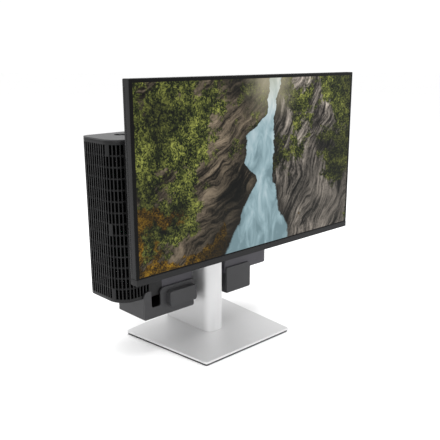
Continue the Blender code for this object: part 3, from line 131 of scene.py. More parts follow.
# Computer's rear panel
REAR_EDGE = 0.4 * MM
REAR_SLOT_W = 4 * MM
REAR_SLOT_H = 11.5 * MM
REAR_SLOT_PITCH = (8 * MM, 15 * MM)     # across, up
REAR_SLOT_COUNT = 12                    # each way
REAR_SLOT_PLACE = (26 * MM, 34 * MM)    # from the panel's lower corner at the low X end
REAR_SLOT_DEPTH = 1.2 * MM
LOCK_SIZE = (8 * MM, 3 * MM)
LOCK_PLACE = (34 * MM, 40 * MM)         # in from the high X end, down from the top
LOCK_DEPTH = 1.5 * MM
LOCK_RIM = 0.2 * MM
RECESS_SIZE = (66 * MM, 84 * MM)
RECESS_PLACE = (-32 * MM, 112 * MM)     # left side, down from the top
RECESS_DEPTH = 0.5 * MM
RECESS_RIM = 0.5 * MM
SCREW_IN = (10 * MM, 9 * MM)            # from the panel's sides, from its top and bottom
SCREW_R = 3.4 * MM
SCREW_H = 1.3 * MM
SCREW_SIDES = 24
DOME_SHARE = 0.4            # of a head's height
DRIVE_SHARE = 0.45          # ring round the drive socket, of a head's radius
DRIVE_SLOPE = 0.02          # of a head's radius
DRIVE_DEPTH = 0.6           # of a head's height

# Mounting screws
MOUNT_SCREWS = 4
MOUNT_RING = 1.7 * MM       # ring round the drive socket
MOUNT_DRIVE_DEPTH = 1.0 * MM
MOUNT_EDGE = 0.25 * MM

# Sockets in the computer's right side
FRONT_SOCKETS = 3
FIRST_SOCKET = 30 * MM      # below the power button
SOCKET_PITCH = 16 * MM
SOCKET_DEPTH = 6 * MM
TONGUE_SIDES = (-0.7 * MM, 0.3 * MM)    # across, from the socket's middle
TONGUE_HALF_H = 4.8 * MM
TONGUE_IN = 1.2 * MM        # tongue's end behind the cover's face
TONGUE_EDGE = 0.2 * MM
LINING_SIDE = 2.45 * MM     # lining's middle, from the socket's middle
LINING_HALF_T = 0.1 * MM
LINING_HALF_H = 6.3 * MM
LINING_IN = 0.4 * MM
LINING_EDGE = 0.04 * MM

# Power button
DISH_RING = 1.2 * MM
DISH_SLOPE = 2.0 * MM
DISH_DEPTH = 0.35 * MM
BUTTON_EDGE = 0.3 * MM
RING_R = 6.9 * MM
RING_WIRE_R = 0.35 * MM
RING_IN = 0.1 * MM          # ring's middle behind the cover's face
RING_SIDES = (10, 48)       # round the wire, round the ring

# Picture
PICTURE_W = 527.0 * MM
PICTURE_H = 296.5 * MM
PICTURE_GAP = 1.8 * MM      # black border below the picture
PICTURE_SOFT = (0.0006, 0.001)      # soft outline, as shares of its width and height

# Camera, with its place in metres and its turn in degrees
CAMERA_PLACE = (-0.82647, -0.91719, 0.54482)
CAMERA_TURN = (75.0, 0.0, -44.16)
CAMERA_LENS = 53.30
CAMERA_SENSOR = 36
CAMERA_SHIFT = (-0.02673, 0.02086)
CAMERA_REACH = 20

# Light: name, place, what it points at, size, power
SOFTBOXES = (("key_softbox", (-1.4, -1.3, 1.5), (0, 0, 0.2), 1.0, 17),
             ("fill_softbox", (1.7, -1.3, 1.2), (0, 0, 0.3), 1.6, 12),
             ("top_softbox", (-0.1, 0.1, 2.2), (0, 0, 0.3), 1.5, 24))
WORLD_LIGHT = 1.04
FLOOR_HALF = 40

# Pieces that only take rounded edges
TOP_EDGE = 1.1 * MM
TOP_EDGE_STEPS = 3
CASE_EDGE = 0.5 * MM
UNDERLAY_EDGE = 0.4 * MM
BASE_EDGE = 0.25 * MM
BASE_EDGE_STEPS = 1
BASE_EDGE_ANGLE = 40        # degrees
CELL_EDGE = 0.4 * MM
# and the rest of them, with the width of the edge in millimetres
ROUNDED = (("cradle_tray", 0.8), ("cradle_front_left", 0.7), ("cradle_front_right", 0.7),
           ("cable_door", 0.9), ("stand_column", 0.5), ("column_cap", 1.0), ("screen_chin", 0.6),
           ("arm_bracket", 0.8), ("tilt_head", 0.6), ("turn_plate", 0.4), ("vesa_plate", 0.3),
           ("release_button", 0.4), ("cover_latch", 0.4))


# ---------------------------------------------------------------- shader maths


class Wire:
    """One output socket; arithmetic on it adds Math nodes."""

    def __init__(self, finish, socket):
        self.finish = finish
        self.socket = socket

    def math(self, operation, *others, first=None):
        values = [self if first is None else first, *others]
        return self.finish.node("Math", {"operation": operation}, dict(enumerate(values)))

    def __add__(self, other):
        return self.math("ADD", other)

    __radd__ = __add__

    def __mul__(self, other):
        return self.math("MULTIPLY", other)

    __rmul__ = __mul__

    def __sub__(self, other):
        return self.math("SUBTRACT", other)

    def __rsub__(self, other):
        return self.math("SUBTRACT", self, first=other)

    def __truediv__(self, other):
        return self.math("DIVIDE", other)

    def __abs__(self):
        return self.math("ABSOLUTE")

    def above_zero(self):
        return self.math("MAXIMUM", 0.0)

    def step(self, low, high):
        """0 below low, 1 above high, smooth between."""
        return self.finish.node("MapRange", {"interpolation_type": "SMOOTHSTEP"},
                                {0: self, 1: low, 2: high, 3: 0.0, 4: 1.0})


class Finish:
    """One material's node tree, with its shader and the coordinates of the piece."""

    def __init__(self, name, roughness, metallic=0.0, **sockets):
        self.material = bpy.data.materials.new(name)
        self.material.use_nodes = True
        self.tree = self.material.node_tree
        self.shader = self.tree.nodes["Principled BSDF"]
        self.set("Roughness", roughness)
        self.set("Metallic", metallic)
        for key, value in sockets.items():
            self.set(key.replace("_", " "), value)
        self.place = self.node("TexCoord", output="Object")

    def set(self, name, value):
        socket = self.shader.inputs[name]
        if isinstance(value, Wire):
            self.tree.links.new(value.socket, socket)
        else:
            socket.default_value = value

    def node(self, kind, settings=None, inputs=None, output=0):
        made = self.tree.nodes.new("ShaderNode" + kind)
        for key, value in (settings or {}).items():
            if key == "stops":
                self.fill_ramp(made.color_ramp, value)
            else:
                setattr(made, key, value)
        for key, value in (inputs or {}).items():
            if isinstance(value, Wire):
                self.tree.links.new(value.socket, made.inputs[key])
            else:
                made.inputs[key].default_value = value
        return Wire(self, made.outputs[output])

    @staticmethod
    def fill_ramp(ramp, stops):
        while len(ramp.elements) < len(stops):
            ramp.elements.new(0.5)
        for element, (position, color) in zip(ramp.elements, stops):
            element.position = position
            element.color = (*color, 1.0)

    def axes(self):
        return [self.node("SeparateXYZ", inputs={0: self.place}, output=i) for i in range(3)]

    def mapped(self, scale=(1, 1, 1), move=(0, 0, 0), turn=0, vector=None):
        """Coordinates scaled, then turned about Y by some degrees, then moved."""
        return self.node("Mapping", inputs={
            "Vector": vector or self.place, "Scale": scale, "Location": move,
            "Rotation": (0, math.radians(turn), 0)})

    def bent(self, scale, reach):
        """The piece's coordinates, pushed about by a noise of a scale, up to a reach."""
        push = self.node("TexNoise", None, {"Vector": self.place, "Scale": scale,
                                            "Detail": 3.0}, "Color")
        push = self.node("VectorMath", {"operation": "SCALE"}, {0: push, "Scale": reach})
        return self.node("VectorMath", {"operation": "ADD"}, {0: self.place, 1: push})

    def noise(self, scale, detail=3.0, vector=None, roughness=0.5, distortion=0.0):
        return self.node("TexNoise", inputs={
            "Vector": vector or self.place, "Scale": scale, "Detail": detail,
            "Roughness": roughness, "Distortion": distortion})

    def cells(self, scale, output="Distance", vector=None):
        """Scattered cells: the distance from a cell's middle, or its own colour."""
        return self.node("TexVoronoi", {"feature": "F1"},
                         {"Vector": vector or self.place, "Scale": scale}, output)

    def ramp(self, value, *stops):
        return self.node("ValToRGB", {"stops": stops}, {0: value})

    def tones(self, value, color, dark, light):
        """A colour that goes from a darker to a lighter share of itself."""
        return self.ramp(value, (0.3, shade(color, dark)), (0.7, shade(color, light)))

    def mix(self, share, first, second):
        """Two colours mixed; sockets 6 and 7 and output 2 are the node's colour ones."""
        def full(color):
            return color if isinstance(color, Wire) else (*color, 1.0)
        return self.node("Mix", {"data_type": "RGBA"},
                         {0: share, 6: full(first), 7: full(second)}, 2)

    def bump(self, height, distance):
        self.set("Normal", self.node("Bump", inputs={
            "Height": height, "Distance": distance, "Strength": 1.0}))


def shade(color, factor):
    return tuple(channel * factor for channel in color)


# ---------------------------------------------------------------- finishes


def moulded(name, color, roughness, grain=0.04 * MM, **sockets):
    """Plastic with a fine spark-eroded grain and a slow change of tone."""
    finish = Finish(name, roughness, **sockets)
    cloud = finish.noise(22, 2)
    speck = finish.noise(2600, 2)
    finish.set("Base Color", finish.tones(cloud * 0.7 + speck * 0.3, color, 0.86, 1.14))
    finish.set("Roughness", roughness - 0.05 + cloud * 0.06 + speck * 0.05)
    finish.bump(speck + finish.noise(1100, 2) * 0.6, grain)
    return finish.material


def anodised(name, color, roughness, metallic=1.0):
    """Bead-blasted, anodised aluminium."""
    finish = Finish(name, roughness, metallic)
    cloud = finish.noise(9, 2)
    speck = finish.noise(3800, 1)
    finish.set("Base Color", finish.tones(cloud * 0.5 + speck * 0.5, color, 0.95, 1.04))
    finish.set("Roughness", roughness - 0.03 + cloud * 0.04 + speck * 0.03)
    finish.bump(speck, 0.012 * MM)
    return finish.material


def rolled_steel(name, color, roughness):
    """Plated sheet steel with rolling lines along X and a faint spangle."""
    finish = Finish(name, roughness, 1.0)
    lines = finish.noise(40, 3, finish.mapped((1, 30, 30)))
    spangle = finish.cells(160.0, "Color")
    finish.set("Base Color", finish.mix(0.08, finish.tones(lines, color, 0.85, 1.08), spangle))
    finish.set("Roughness", roughness - 0.06 + lines * 0.14)
    finish.bump(lines, 0.03 * MM)
    return finish.material


def circuit(name):
    """Solder mask with copper runs under it and bare pads."""
    finish = Finish(name, 0.4, Coat_Weight=0.2, Coat_Roughness=0.2)
    runs = finish.node("TexBrick", {"offset": 0.37}, {
        "Vector": finish.place, "Scale": 60.0, "Mortar Size": 0.03,
        "Brick Width": 0.7, "Row Height": 0.25}, "Fac")
    pads = 1 - finish.cells(120.0).step(0.10, 0.16)
    mask = finish.mix(runs, (0.008, 0.07, 0.035), (0.02, 0.15, 0.07))
    finish.set("Base Color", finish.mix(pads, mask, (0.5, 0.42, 0.2)))
    finish.set("Metallic", pads * 0.9)
    finish.bump(runs + pads, 0.1 * MM)
    return finish.material


def rubber(name, color):
    """Matt rubber with open pores."""
    finish = Finish(name, 0.85)
    pores = finish.noise(1500, 3)
    finish.set("Base Color", finish.tones(pores, color, 0.7, 1.3))
    finish.bump(pores, 0.1 * MM)
    return finish.material


def frosted_clear(name):
    """Clear acrylic with a field of frosted dots."""
    finish = Finish(name, 0.15, IOR=1.49)
    dots = finish.cells(500.0)
    finish.set("Base Color", finish.mix(dots.step(0.2, 0.35), (0.95, 0.97, 0.97),
                                        (0.78, 0.83, 0.85)))
    finish.set("Roughness", 0.12 + dots * 0.2)
    return finish.material


def glowing(name, color, power):
    """A lit diffuser, a little uneven."""
    finish = Finish(name, 0.3, Emission_Strength=power)
    cloud = finish.noise(300, 2)
    finish.set("Base Color", finish.tones(cloud, color, 0.8, 1.0))
    finish.set("Emission Color", finish.tones(cloud, color, 0.9, 1.0))
    return finish.material


def rocks(finish, turn, tone):
    """Layered rock: long folded strata at an angle, in broad light and dark masses."""
    turned = finish.mapped(turn=turn, vector=finish.bent(9.0, 0.09))
    strata = finish.noise(26, 8, finish.mapped((0.7, 1.0, 6.0), vector=turned), 0.66)
    masses = finish.noise(13, 5, finish.mapped((0.7, 1.0, 1.6), (turn, 0, 0), vector=turned), 0.58)
    grit = finish.noise(240, 5, roughness=0.7)
    level = strata * 0.48 + masses * 0.40 + grit * 0.14
    black, dark, middle, light = (shade(tone, share) for share in (0.01, 0.15, 0.85, 2.1))
    return finish.ramp(level, (0.41, black), (0.47, dark), (0.53, middle), (0.61, light))


def leaves(finish, scale, dark, bright):
    """Foliage: small ragged leaves in clumps, from deep shade to full sun."""
    leaf = finish.node("SeparateColor", None, {
        0: finish.cells(scale, "Color", finish.bent(260.0, 0.006))})
    clumps = finish.noise(30, 10, roughness=0.76)
    middle = tuple((a * 2 + b) / 3 for a, b in zip(dark, bright))
    return finish.ramp(leaf * 0.22 + clumps * 0.98, (0.47, (0.003, 0.004, 0.002)), (0.58, dark),
                       (0.68, middle), (0.80, bright))


def banks(finish, across, up, wobble, jag):
    """Both banks: rock, green growth up the sides, amber growth low on the left, deep shade."""
    far_side = (across + wobble * 0.1).step(0.50, 0.56)
    bank = finish.mix(far_side, rocks(finish, 28, (0.150, 0.118, 0.082)),
                      rocks(finish, 63, (0.31, 0.272, 0.232)))
    patches = finish.noise(9, 8, roughness=0.70)
    grown = ((0.50 - across).above_zero() * 0.34 + (up - 0.5) * 0.16
             + (across - 0.74).above_zero() * 0.62)
    bank = finish.mix((patches + grown).step(0.555, 0.60), bank,
                      leaves(finish, 440, (0.024, 0.034, 0.008), (0.40, 0.43, 0.09)))
    amber = finish.noise(17, 6) + (0.34 - up) * 0.75 - across * 0.40 + jag * 0.25
    bank = finish.mix(amber.step(0.55, 0.60), bank,
                      leaves(finish, 520, (0.085, 0.044, 0.005), (0.58, 0.32, 0.02)))
    lit = finish.noise(5, 4).step(0.36, 0.60)
    return finish.mix((1 - lit) * 0.72, bank, (0.004, 0.005, 0.004))


def picture(name, left, bottom, front):
    """A made-up river gorge, lit from behind, with a black border round it."""
    finish = Finish(name, 0.35, Emission_Strength=1.0, Specular_IOR_Level=0.06)
    x, y, z = finish.axes()
    across = (x - left) / PICTURE_W
    up = (z - bottom) / PICTURE_H
    wobble = finish.noise(9, 7, roughness=0.62) - 0.5
    jag = finish.noise(42, 6, roughness=0.66) - 0.5
    bank = banks(finish, across, up, wobble, jag)

    # the river runs from the top to the bottom edge, wide at a pool and in the foreground
    pool = (1 - (abs(up - 0.60) * 4.4).step(0.3, 0.9)) * 0.042
    centre = 0.500 + up * 0.075 - pool + wobble * 0.10 + jag * 0.030
    half_width = 0.024 + pool + (0.46 - up).above_zero() * 0.30
    off = abs(across - centre) / half_width
    flow = finish.noise(20, 7, finish.mapped((2.0, 1, 0.8), (0.3, 0, 0)), 0.58, 0.6)
    water = finish.ramp(flow * 0.85 + (up - 0.5) * 0.22 - off * 0.05,
                        (0.27, (0.17, 0.26, 0.29)), (0.40, (0.30, 0.43, 0.47)),
                        (0.52, (0.46, 0.58, 0.62)), (0.66, (0.78, 0.84, 0.86)))
    shore = 1 - off.step(1.0, 1.7)
    scene = finish.mix(1 - off.step(0.94, 1.02),
                       finish.mix(shore * 0.82, bank, (0.010, 0.009, 0.007)), water)
    glow = up.step(0.72, 1.02) * (1 - (abs(across - 0.56 + jag * 0.1) * 7).step(0.1, 1.0))
    scene = finish.mix(glow * 0.50, scene, (0.66, 0.60, 0.42))

    side, end = PICTURE_SOFT
    inside = (across.step(0.0, side) * (1 - across.step(1 - side, 1.0))
              * up.step(0.0, end) * (1 - up.step(1 - end, 1.0))
              * (1 - y.step(front + 0.2 * MM, front + 0.4 * MM)))
    finish.set("Emission Color", finish.mix(inside, (0.0, 0.0, 0.0), scene))
    finish.set("Base Color", finish.mix(inside, (0.003, 0.003, 0.003), (0.001, 0.001, 0.001)))
    finish.bump(finish.noise(4200, 1), 0.006 * MM)
    return finish.material


def make_materials():
    """Every finish by the name of its slot, and a few more for single pieces."""
    cell_low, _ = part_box("lcd_cell")
    return {
        "silver": anodised("satin_silver", (0.66, 0.66, 0.662), 0.52, 0.64),
        "charcoal": moulded("charcoal_plastic", (0.034, 0.034, 0.036), 0.55,
                            Specular_IOR_Level=0.35),
        "black": moulded("black_plastic", (0.004, 0.004, 0.0044), 0.42, Specular_IOR_Level=0.26),
        "bezel": moulded("bezel_plastic", (0.008, 0.008, 0.0084), 0.5, 0.02 * MM,
                         Specular_IOR_Level=0.18),
        "guide": frosted_clear("light_guide_clear"),
        "steel": rolled_steel("zinc_steel", (0.55, 0.55, 0.56), 0.38),
        "board": circuit("circuit_board"),
        "alloy": anodised("bright_aluminium", (0.60, 0.61, 0.62), 0.32),
        "rubber": rubber("black_rubber", (0.02, 0.02, 0.02)),
        "cap": moulded("cap_plastic", (0.024, 0.024, 0.025), 0.42, Specular_IOR_Level=0.38),
        "frame": moulded("frame_plastic", (0.012, 0.012, 0.0124), 0.5, 0.02 * MM,
                         Specular_IOR_Level=0.17),
        "housing": moulded("housing_plastic", (0.040, 0.038, 0.046), 0.52,
                           Specular_IOR_Level=0.4),
        # the wall behind the grille is near-black with no reflection at all: painted shade for the
        # dark inside of the computer, seen through the slots
        "chassis": moulded("chassis_painted_shade", (0.001, 0.001, 0.001), 0.9, Specular_IOR_Level=0.0),
        "panel": picture("display_face", -PICTURE_W / 2, cell_low.z + PICTURE_GAP, cell_low.y),
        "socket": moulded("socket_blue", (0.02, 0.08, 0.30), 0.4),
        "ring": glowing("ring_white", (0.9, 0.95, 1.0), 0.25)}


# ---------------------------------------------------------------- mesh work


def hand_over(bm, name, material, node, replace=True):
    """Turn a bmesh into a piece that rides with a node's body and may stand for the node."""
    mesh = bpy.data.meshes.new(name)
    bm.to_mesh(mesh)
    bm.free()
    mesh.shade_smooth()
    mesh.set_sharp_from_angle(angle=math.radians(SMOOTH_ANGLE))
    mesh.materials.append(material)
    piece = bpy.data.objects.new(name, mesh)
    bpy.context.scene.collection.objects.link(piece)
    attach(piece, BODY_OF[node])
    if replace:
        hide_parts(node)
    return piece


def finished(bm, name, material, node, replace=True):
    """Hand a piece over with clean shading of its flats."""
    piece = hand_over(bm, name, material, node, replace)
    piece.modifiers.new("flats", "WEIGHTED_NORMAL").keep_sharp = True


def thicken(piece, thickness, offset):
    """Give an open sheet its wall: -1 puts it behind the sheet, 0 on both sides."""
    wall = piece.modifiers.new("wall", "SOLIDIFY")
    wall.thickness = thickness
    wall.offset = offset


def merged_copy(node):
    """A CAD node's mesh as clean faces, ready for edge work."""
    bm = bmesh.new()
    bm.from_mesh(frame["nodes"][node].data)
    bmesh.ops.remove_doubles(bm, verts=bm.verts, dist=MERGE)
    bmesh.ops.dissolve_limit(bm, angle_limit=math.radians(FLAT_ANGLE), verts=bm.verts,
                             edges=bm.edges)
    return bm


def bevel(bm, edges, width, segments):
    bmesh.ops.bevel(bm, geom=edges, offset=width, offset_type="OFFSET", segments=segments,
                    profile=0.5, affect="EDGES", clamp_overlap=True, material=-1)


def round_edges(bm, width, segments=2, angle=EDGE_ANGLE, keep=None):
    """Bevel the edges that turn by more than an angle and that keep() wants."""
    bevel(bm, [edge for edge in bm.edges if len(edge.link_faces) == 2
               and edge.calc_face_angle(0) > math.radians(angle)
               and (keep is None or keep(edge))], width, segments)


def is_long(edge):
    return edge.calc_length() > LONG_EDGE


def softened(node, material, width, segments=2, angle=EDGE_ANGLE):
    """A node with rounded edges, whose flats and bends shade cleanly."""
    bm = merged_copy(node)
    round_edges(bm, width, segments, angle)
    finished(bm, node + "_finished", material, node)


def sunk(bm, face, rim, slope, depth):
    """Inset one face by a rim, then sink what is left with sloping walls."""
    bmesh.ops.inset_individual(bm, faces=[face], thickness=rim, depth=0.0)
    bmesh.ops.inset_individual(bm, faces=[face], thickness=slope, depth=-depth)


def add_block(bm, low, high):
    """A box between two corners, added to a bmesh."""
    low, high = Vector(low), Vector(high)
    bmesh.ops.create_cube(bm, size=1.0, matrix=Matrix.Translation((high + low) / 2)
                          @ Matrix.Diagonal((*(high - low), 1.0)))


def facing(bm, axis, sign):
    """The faces that look along an axis, at its far end."""
    faces = [face for face in bm.faces if face.normal[axis] * sign > FACING]
    far = max(face.calc_center_median()[axis] * sign for face in faces)
    return [face for face in faces if face.calc_center_median()[axis] * sign > far - FAR_BAND]


def split_faces(bm, faces, axis, places):
    """Cut chosen faces at places along an axis and return all the faces they became."""
    normal = Vector([1.0 if i == axis else 0.0 for i in range(3)])
    for place in places:
        geometry = dict.fromkeys(part for face in faces
                                 for part in (face, *face.edges, *face.verts))
        made = bmesh.ops.bisect_plane(bm, geom=list(geometry), dist=CUT_REACH,
                                      plane_co=normal * place, plane_no=normal)
        faces = [part for part in made["geom"] if isinstance(part, bmesh.types.BMFace)]
    return faces


def slot_field(bm, faces, rows, columns, depth, rim=THIN_RIM):
    """A field of sunk slots: rows and columns are (axis, low, pitch, width, count)."""
    for axis, low, pitch, width, count in (rows, columns):
        starts = [low + i * pitch for i in range(count)]
        faces = split_faces(bm, faces, axis, [place for start in starts
                                              for place in (start, start + width)])

    def in_slot(face):
        for axis, low, pitch, width, count in (rows, columns):
            step = (face.calc_center_median()[axis] - low) / pitch
            if not (0 <= step < count and (step % 1.0) * pitch < width):
                return False
        return True

    bmesh.ops.inset_individual(bm, faces=[face for face in faces if in_slot(face)],
                               thickness=rim, depth=-depth)


def pierced_sheet(across, up, place, hole):
    """A sheet on unevenly spaced grid lines, bent by place(), with the hole() cells left out."""
    columns, rows = len(across) - 1, len(up) - 1
    bm = bmesh.new()
    bmesh.ops.create_grid(bm, x_segments=columns, y_segments=rows, size=0.5)

    def cell(point):
        return (point.x + 0.5) * columns, (point.y + 0.5) * rows

    gone = [face for face in bm.faces
            if hole(*(int(part) for part in cell(face.calc_center_median())))]
    bmesh.ops.delete(bm, geom=gone, context="FACES")
    for vertex in bm.verts:
        i, j = (round(part) for part in cell(vertex.co))
        vertex.co = place(across[i], up[j])
    bmesh.ops.recalc_face_normals(bm, faces=bm.faces)
    return bm


# ---------------------------------------------------------------- computer


def end_path(inset):
    """The computer's left end: its box, place(s, z) at an inset, and the lengths of its runs.

    s is measured on the outer face, from where the front corner's arc meets the side.
    """
    low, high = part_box("pc_vent_cover")
    back_length = BACK_CORNER_R * math.pi / 2
    front_length = CORNER_R * math.pi / 2
    side_length = high.y - low.y - CORNER_R - BACK_CORNER_R
    front, back = CORNER_R - inset, BACK_CORNER_R - inset

    def place(s, z):
        if s > front_length:
            return Vector((low.x + CORNER_R + s - front_length, low.y + inset, z))
        if s > 0:
            turn = s / CORNER_R
            return Vector((low.x + CORNER_R - front * math.cos(turn),
                           low.y + CORNER_R - front * math.sin(turn), z))
        if s > -side_length:
            return Vector((low.x + inset, low.y + CORNER_R - s, z))
        turn = (-s - side_length) / BACK_CORNER_R
        if turn > math.pi / 2:
            return Vector((low.x + BACK_CORNER_R - s - side_length - back_length,
                           high.y - inset, z))
        return Vector((low.x + BACK_CORNER_R - back * math.cos(turn),
                       high.y - BACK_CORNER_R + back * math.sin(turn), z))

    return low, high, place, -side_length - back_length, front_length


def vented_cover(material):
    """The grille: tall slots in fourteen rows, wrapped round the left end."""
    low, high, place, back_start, front_length = end_path(0.0)
    first_edge = GRILLE_OFFSET + GRILLE_FIRST * GRILLE_PITCH - SLOT_W / 2
    across = [back_start - (BACK_RUN - BACK_CORNER_R)]
    across += [back_start + (first_edge - back_start) * i / BACK_STEPS for i in range(BACK_STEPS)]
    slots = {}
    for column in range(GRILLE_FIRST, GRILLE_LAST + 1):
        middle = GRILLE_OFFSET + column * GRILLE_PITCH
        slots[len(across)] = column
        across += [middle - SLOT_W / 2, middle + SLOT_W / 2]
    across += [front_length + high.x - low.x - CORNER_R]
    up = [low.z]
    row_h = (high.z - low.z - 2 * GRILLE_RIM + BAR_H) / GRILLE_ROWS
    for row in range(GRILLE_ROWS):
        up += [low.z + GRILLE_RIM + row * row_h, low.z + GRILLE_RIM + (row + 1) * row_h - BAR_H]
    up += [high.z]

    def hole(i, j):
        if i not in slots or j % 2 == 0:
            return False
        return not (slots[i] == 0 and j // 2 in BLANK_ROWS)

    bm = pierced_sheet(across, up, place, hole)
    leftmost = min(bm.faces, key=lambda face: face.calc_center_median().x)
    if leftmost.normal.x > 0:
        bmesh.ops.reverse_faces(bm, faces=bm.faces)
    bars = [face for face in bm.faces if sum(edge.is_boundary for edge in face.edges) == 2
            and face.calc_area() < SLOT_W * BAR_H * BAR_AREA]
    bmesh.ops.inset_individual(bm, faces=bars, thickness=BAR_SLOPE, depth=-BAR_RECESS)
    piece = hand_over(bm, "vented_cover", material, "pc_vent_cover")
    thicken(piece, COVER_T, -1)
    edge = piece.modifiers.new("edges", "BEVEL")
    edge.width = COVER_EDGE
    edge.segments = 2
    edge.limit_method = "ANGLE"
    edge.angle_limit = math.radians(EDGE_ANGLE)


def chassis_wall(material):
    """The steel wall behind the vented cover, with a field of small air holes; its near-black
    finish without any reflection is painted shade for the dark inside seen through the slots.
    """
    low, high, place, back_start, front_length = end_path(WALL_INSET)
    columns = int((front_length + WALL_FRONT_RUN - back_start) / WALL_PITCH)
    rows = int((high.z - low.z - 2 * WALL_MARGIN) / WALL_PITCH)

    def lines(start, count):
        return [start + i * WALL_PITCH + part for i in range(count) for part in (0, WALL_HOLE)]

    def hole(i, j):
        return i % 2 == 0 and j % 2 == 0 and 0 < i < 2 * columns - 2 and 0 < j < 2 * rows - 2

    bm = pierced_sheet(lines(back_start, columns), lines(low.z + WALL_MARGIN, rows), place, hole)
    thicken(hand_over(bm, "chassis_wall", material, "pc_vent_cover", False), WALL_T, 0)


def screw_head(bm, centre):
    """A pan head that faces +Y, with a domed edge and a round drive socket."""
    start = len(bm.faces)
    at = Vector(centre) + Vector((0, SCREW_H / 2, 0))
    bmesh.ops.create_cone(bm, cap_ends=True, segments=SCREW_SIDES, radius1=SCREW_R,
                          radius2=SCREW_R, depth=SCREW_H,
                          matrix=Matrix.Translation(at) @ Matrix.Rotation(math.pi / 2, 4, "X"))
    bm.faces.ensure_lookup_table()
    crown = max(bm.faces[start:], key=lambda face: face.normal.y)
    bevel(bm, list(crown.edges), SCREW_H * DOME_SHARE, 2)
    crown = max((face for face in bm.faces if (face.calc_center_median() - at).length < SCREW_R),
                key=lambda face: (face.calc_center_median().y, face.calc_area()))
    sunk(bm, crown, SCREW_R * DRIVE_SHARE, SCREW_R * DRIVE_SLOPE, SCREW_H * DRIVE_DEPTH)


def pc_back(material, screws):
    """The computer's rear panel: a field of air slots, a lock slot, a label recess, screws."""
    bm = merged_copy("pc_rear_panel")
    low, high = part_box("pc_rear_panel")
    round_edges(bm, REAR_EDGE, 2, SMALL_EDGE_ANGLE, is_long)
    slot_field(bm, facing(bm, Y, 1), (Z, low.z + REAR_SLOT_PLACE[1], REAR_SLOT_PITCH[1],
                                      REAR_SLOT_H, REAR_SLOT_COUNT),
               (X, low.x + REAR_SLOT_PLACE[0], REAR_SLOT_PITCH[0], REAR_SLOT_W,
                REAR_SLOT_COUNT), REAR_SLOT_DEPTH)
    slot_field(bm, facing(bm, Y, 1), (Z, high.z - LOCK_PLACE[1], ALONE, LOCK_SIZE[1], 1),
               (X, high.x - LOCK_PLACE[0], ALONE, LOCK_SIZE[0], 1), LOCK_DEPTH, LOCK_RIM)
    slot_field(bm, facing(bm, Y, 1), (Z, high.z - RECESS_PLACE[1], ALONE, RECESS_SIZE[1], 1),
               (X, RECESS_PLACE[0], ALONE, RECESS_SIZE[0], 1), RECESS_DEPTH, RECESS_RIM)
    finished(bm, "pc_rear_panel_finished", material, "pc_rear_panel")
    heads = bmesh.new()
    for x in (low.x + SCREW_IN[0], (low.x + high.x) / 2, high.x - SCREW_IN[0]):
        for z in (low.z + SCREW_IN[1], high.z - SCREW_IN[1]):
            screw_head(heads, (x, high.y, z))
    finished(heads, "rear_panel_screws", screws, "pc_rear_panel", False)


def socket_tongues(shell, contacts):
    """What fills the sockets of the right side: metal linings and tongues with contacts."""
    _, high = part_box("pc_right_cover")
    button_low, button_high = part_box("pc_power_button")
    middle = (button_low + button_high) / 2
    lining = bmesh.new()
    tongues = bmesh.new()
    for index in range(FRONT_SOCKETS):
        z = middle.z - FIRST_SOCKET - SOCKET_PITCH * index
        add_block(tongues, (high.x - SOCKET_DEPTH, middle.y + TONGUE_SIDES[0], z - TONGUE_HALF_H),
                  (high.x - TONGUE_IN, middle.y + TONGUE_SIDES[1], z + TONGUE_HALF_H))
        for y in (middle.y - LINING_SIDE, middle.y + LINING_SIDE):
            add_block(lining, (high.x - SOCKET_DEPTH, y - LINING_HALF_T, z - LINING_HALF_H),
                      (high.x - LINING_IN, y + LINING_HALF_T, z + LINING_HALF_H))
    round_edges(tongues, TONGUE_EDGE, 1, SMALL_EDGE_ANGLE)
    round_edges(lining, LINING_EDGE, 1, SMALL_EDGE_ANGLE)
    finished(tongues, "socket_tongues", contacts, "pc_right_cover", False)
    finished(lining, "socket_linings", shell, "pc_right_cover", False)


def power_button(material, glow):
    """The computer's power button, dished, with a lit ring let into the cover round it."""
    bm = merged_copy("pc_power_button")
    sunk(bm, max(bm.faces, key=lambda face: face.normal.x), DISH_RING, DISH_SLOPE, DISH_DEPTH)
    round_edges(bm, BUTTON_EDGE, 3, SMALL_EDGE_ANGLE)
    finished(bm, "pc_power_button_finished", material, "pc_power_button")
    ring = bmesh.new()
    bmesh.ops.create_circle(ring, segments=RING_SIDES[0], radius=RING_WIRE_R,
                            matrix=Matrix.Translation((0, RING_R, 0)))
    bmesh.ops.spin(ring, geom=ring.verts[:] + ring.edges[:], cent=(0, 0, 0), axis=(1, 0, 0),
                   angle=math.tau, steps=RING_SIDES[1], use_merge=True)
    low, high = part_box("pc_power_button")
    centre = (low + high) / 2
    centre.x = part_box("pc_right_cover")[1].x - RING_IN
    bmesh.ops.translate(ring, verts=ring.verts, vec=centre)
    bmesh.ops.recalc_face_normals(ring, faces=ring.faces)
    finished(ring, "power_light_ring", glow, "pc_right_cover", False)


# ---------------------------------------------------------------- monitor


def screen_frame(material):
    """The frame, with a row of small air holes along each side strip."""
    bm = merged_copy("screen_frame")
    low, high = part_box("screen_frame")
    count = int((high.z - low.z - 2 * HOLE_MARGIN) / HOLE_PITCH)
    for sign in (-1, 1):
        slot_field(bm, facing(bm, X, sign),
                   (Z, low.z + HOLE_MARGIN, HOLE_PITCH, HOLE_W, count),
                   (Y, high.y - HOLE_BACK, ALONE, HOLE_W, 1), HOLE_DEPTH)
    round_edges(bm, FRAME_EDGE, 2, SMALL_EDGE_ANGLE,
                lambda edge: edge.calc_length() > FRAME_LONG_EDGE
                or min(corner.co.y for corner in edge.verts) < low.y + FAR_BAND)
    finished(bm, "screen_frame_finished", material, "screen_frame")


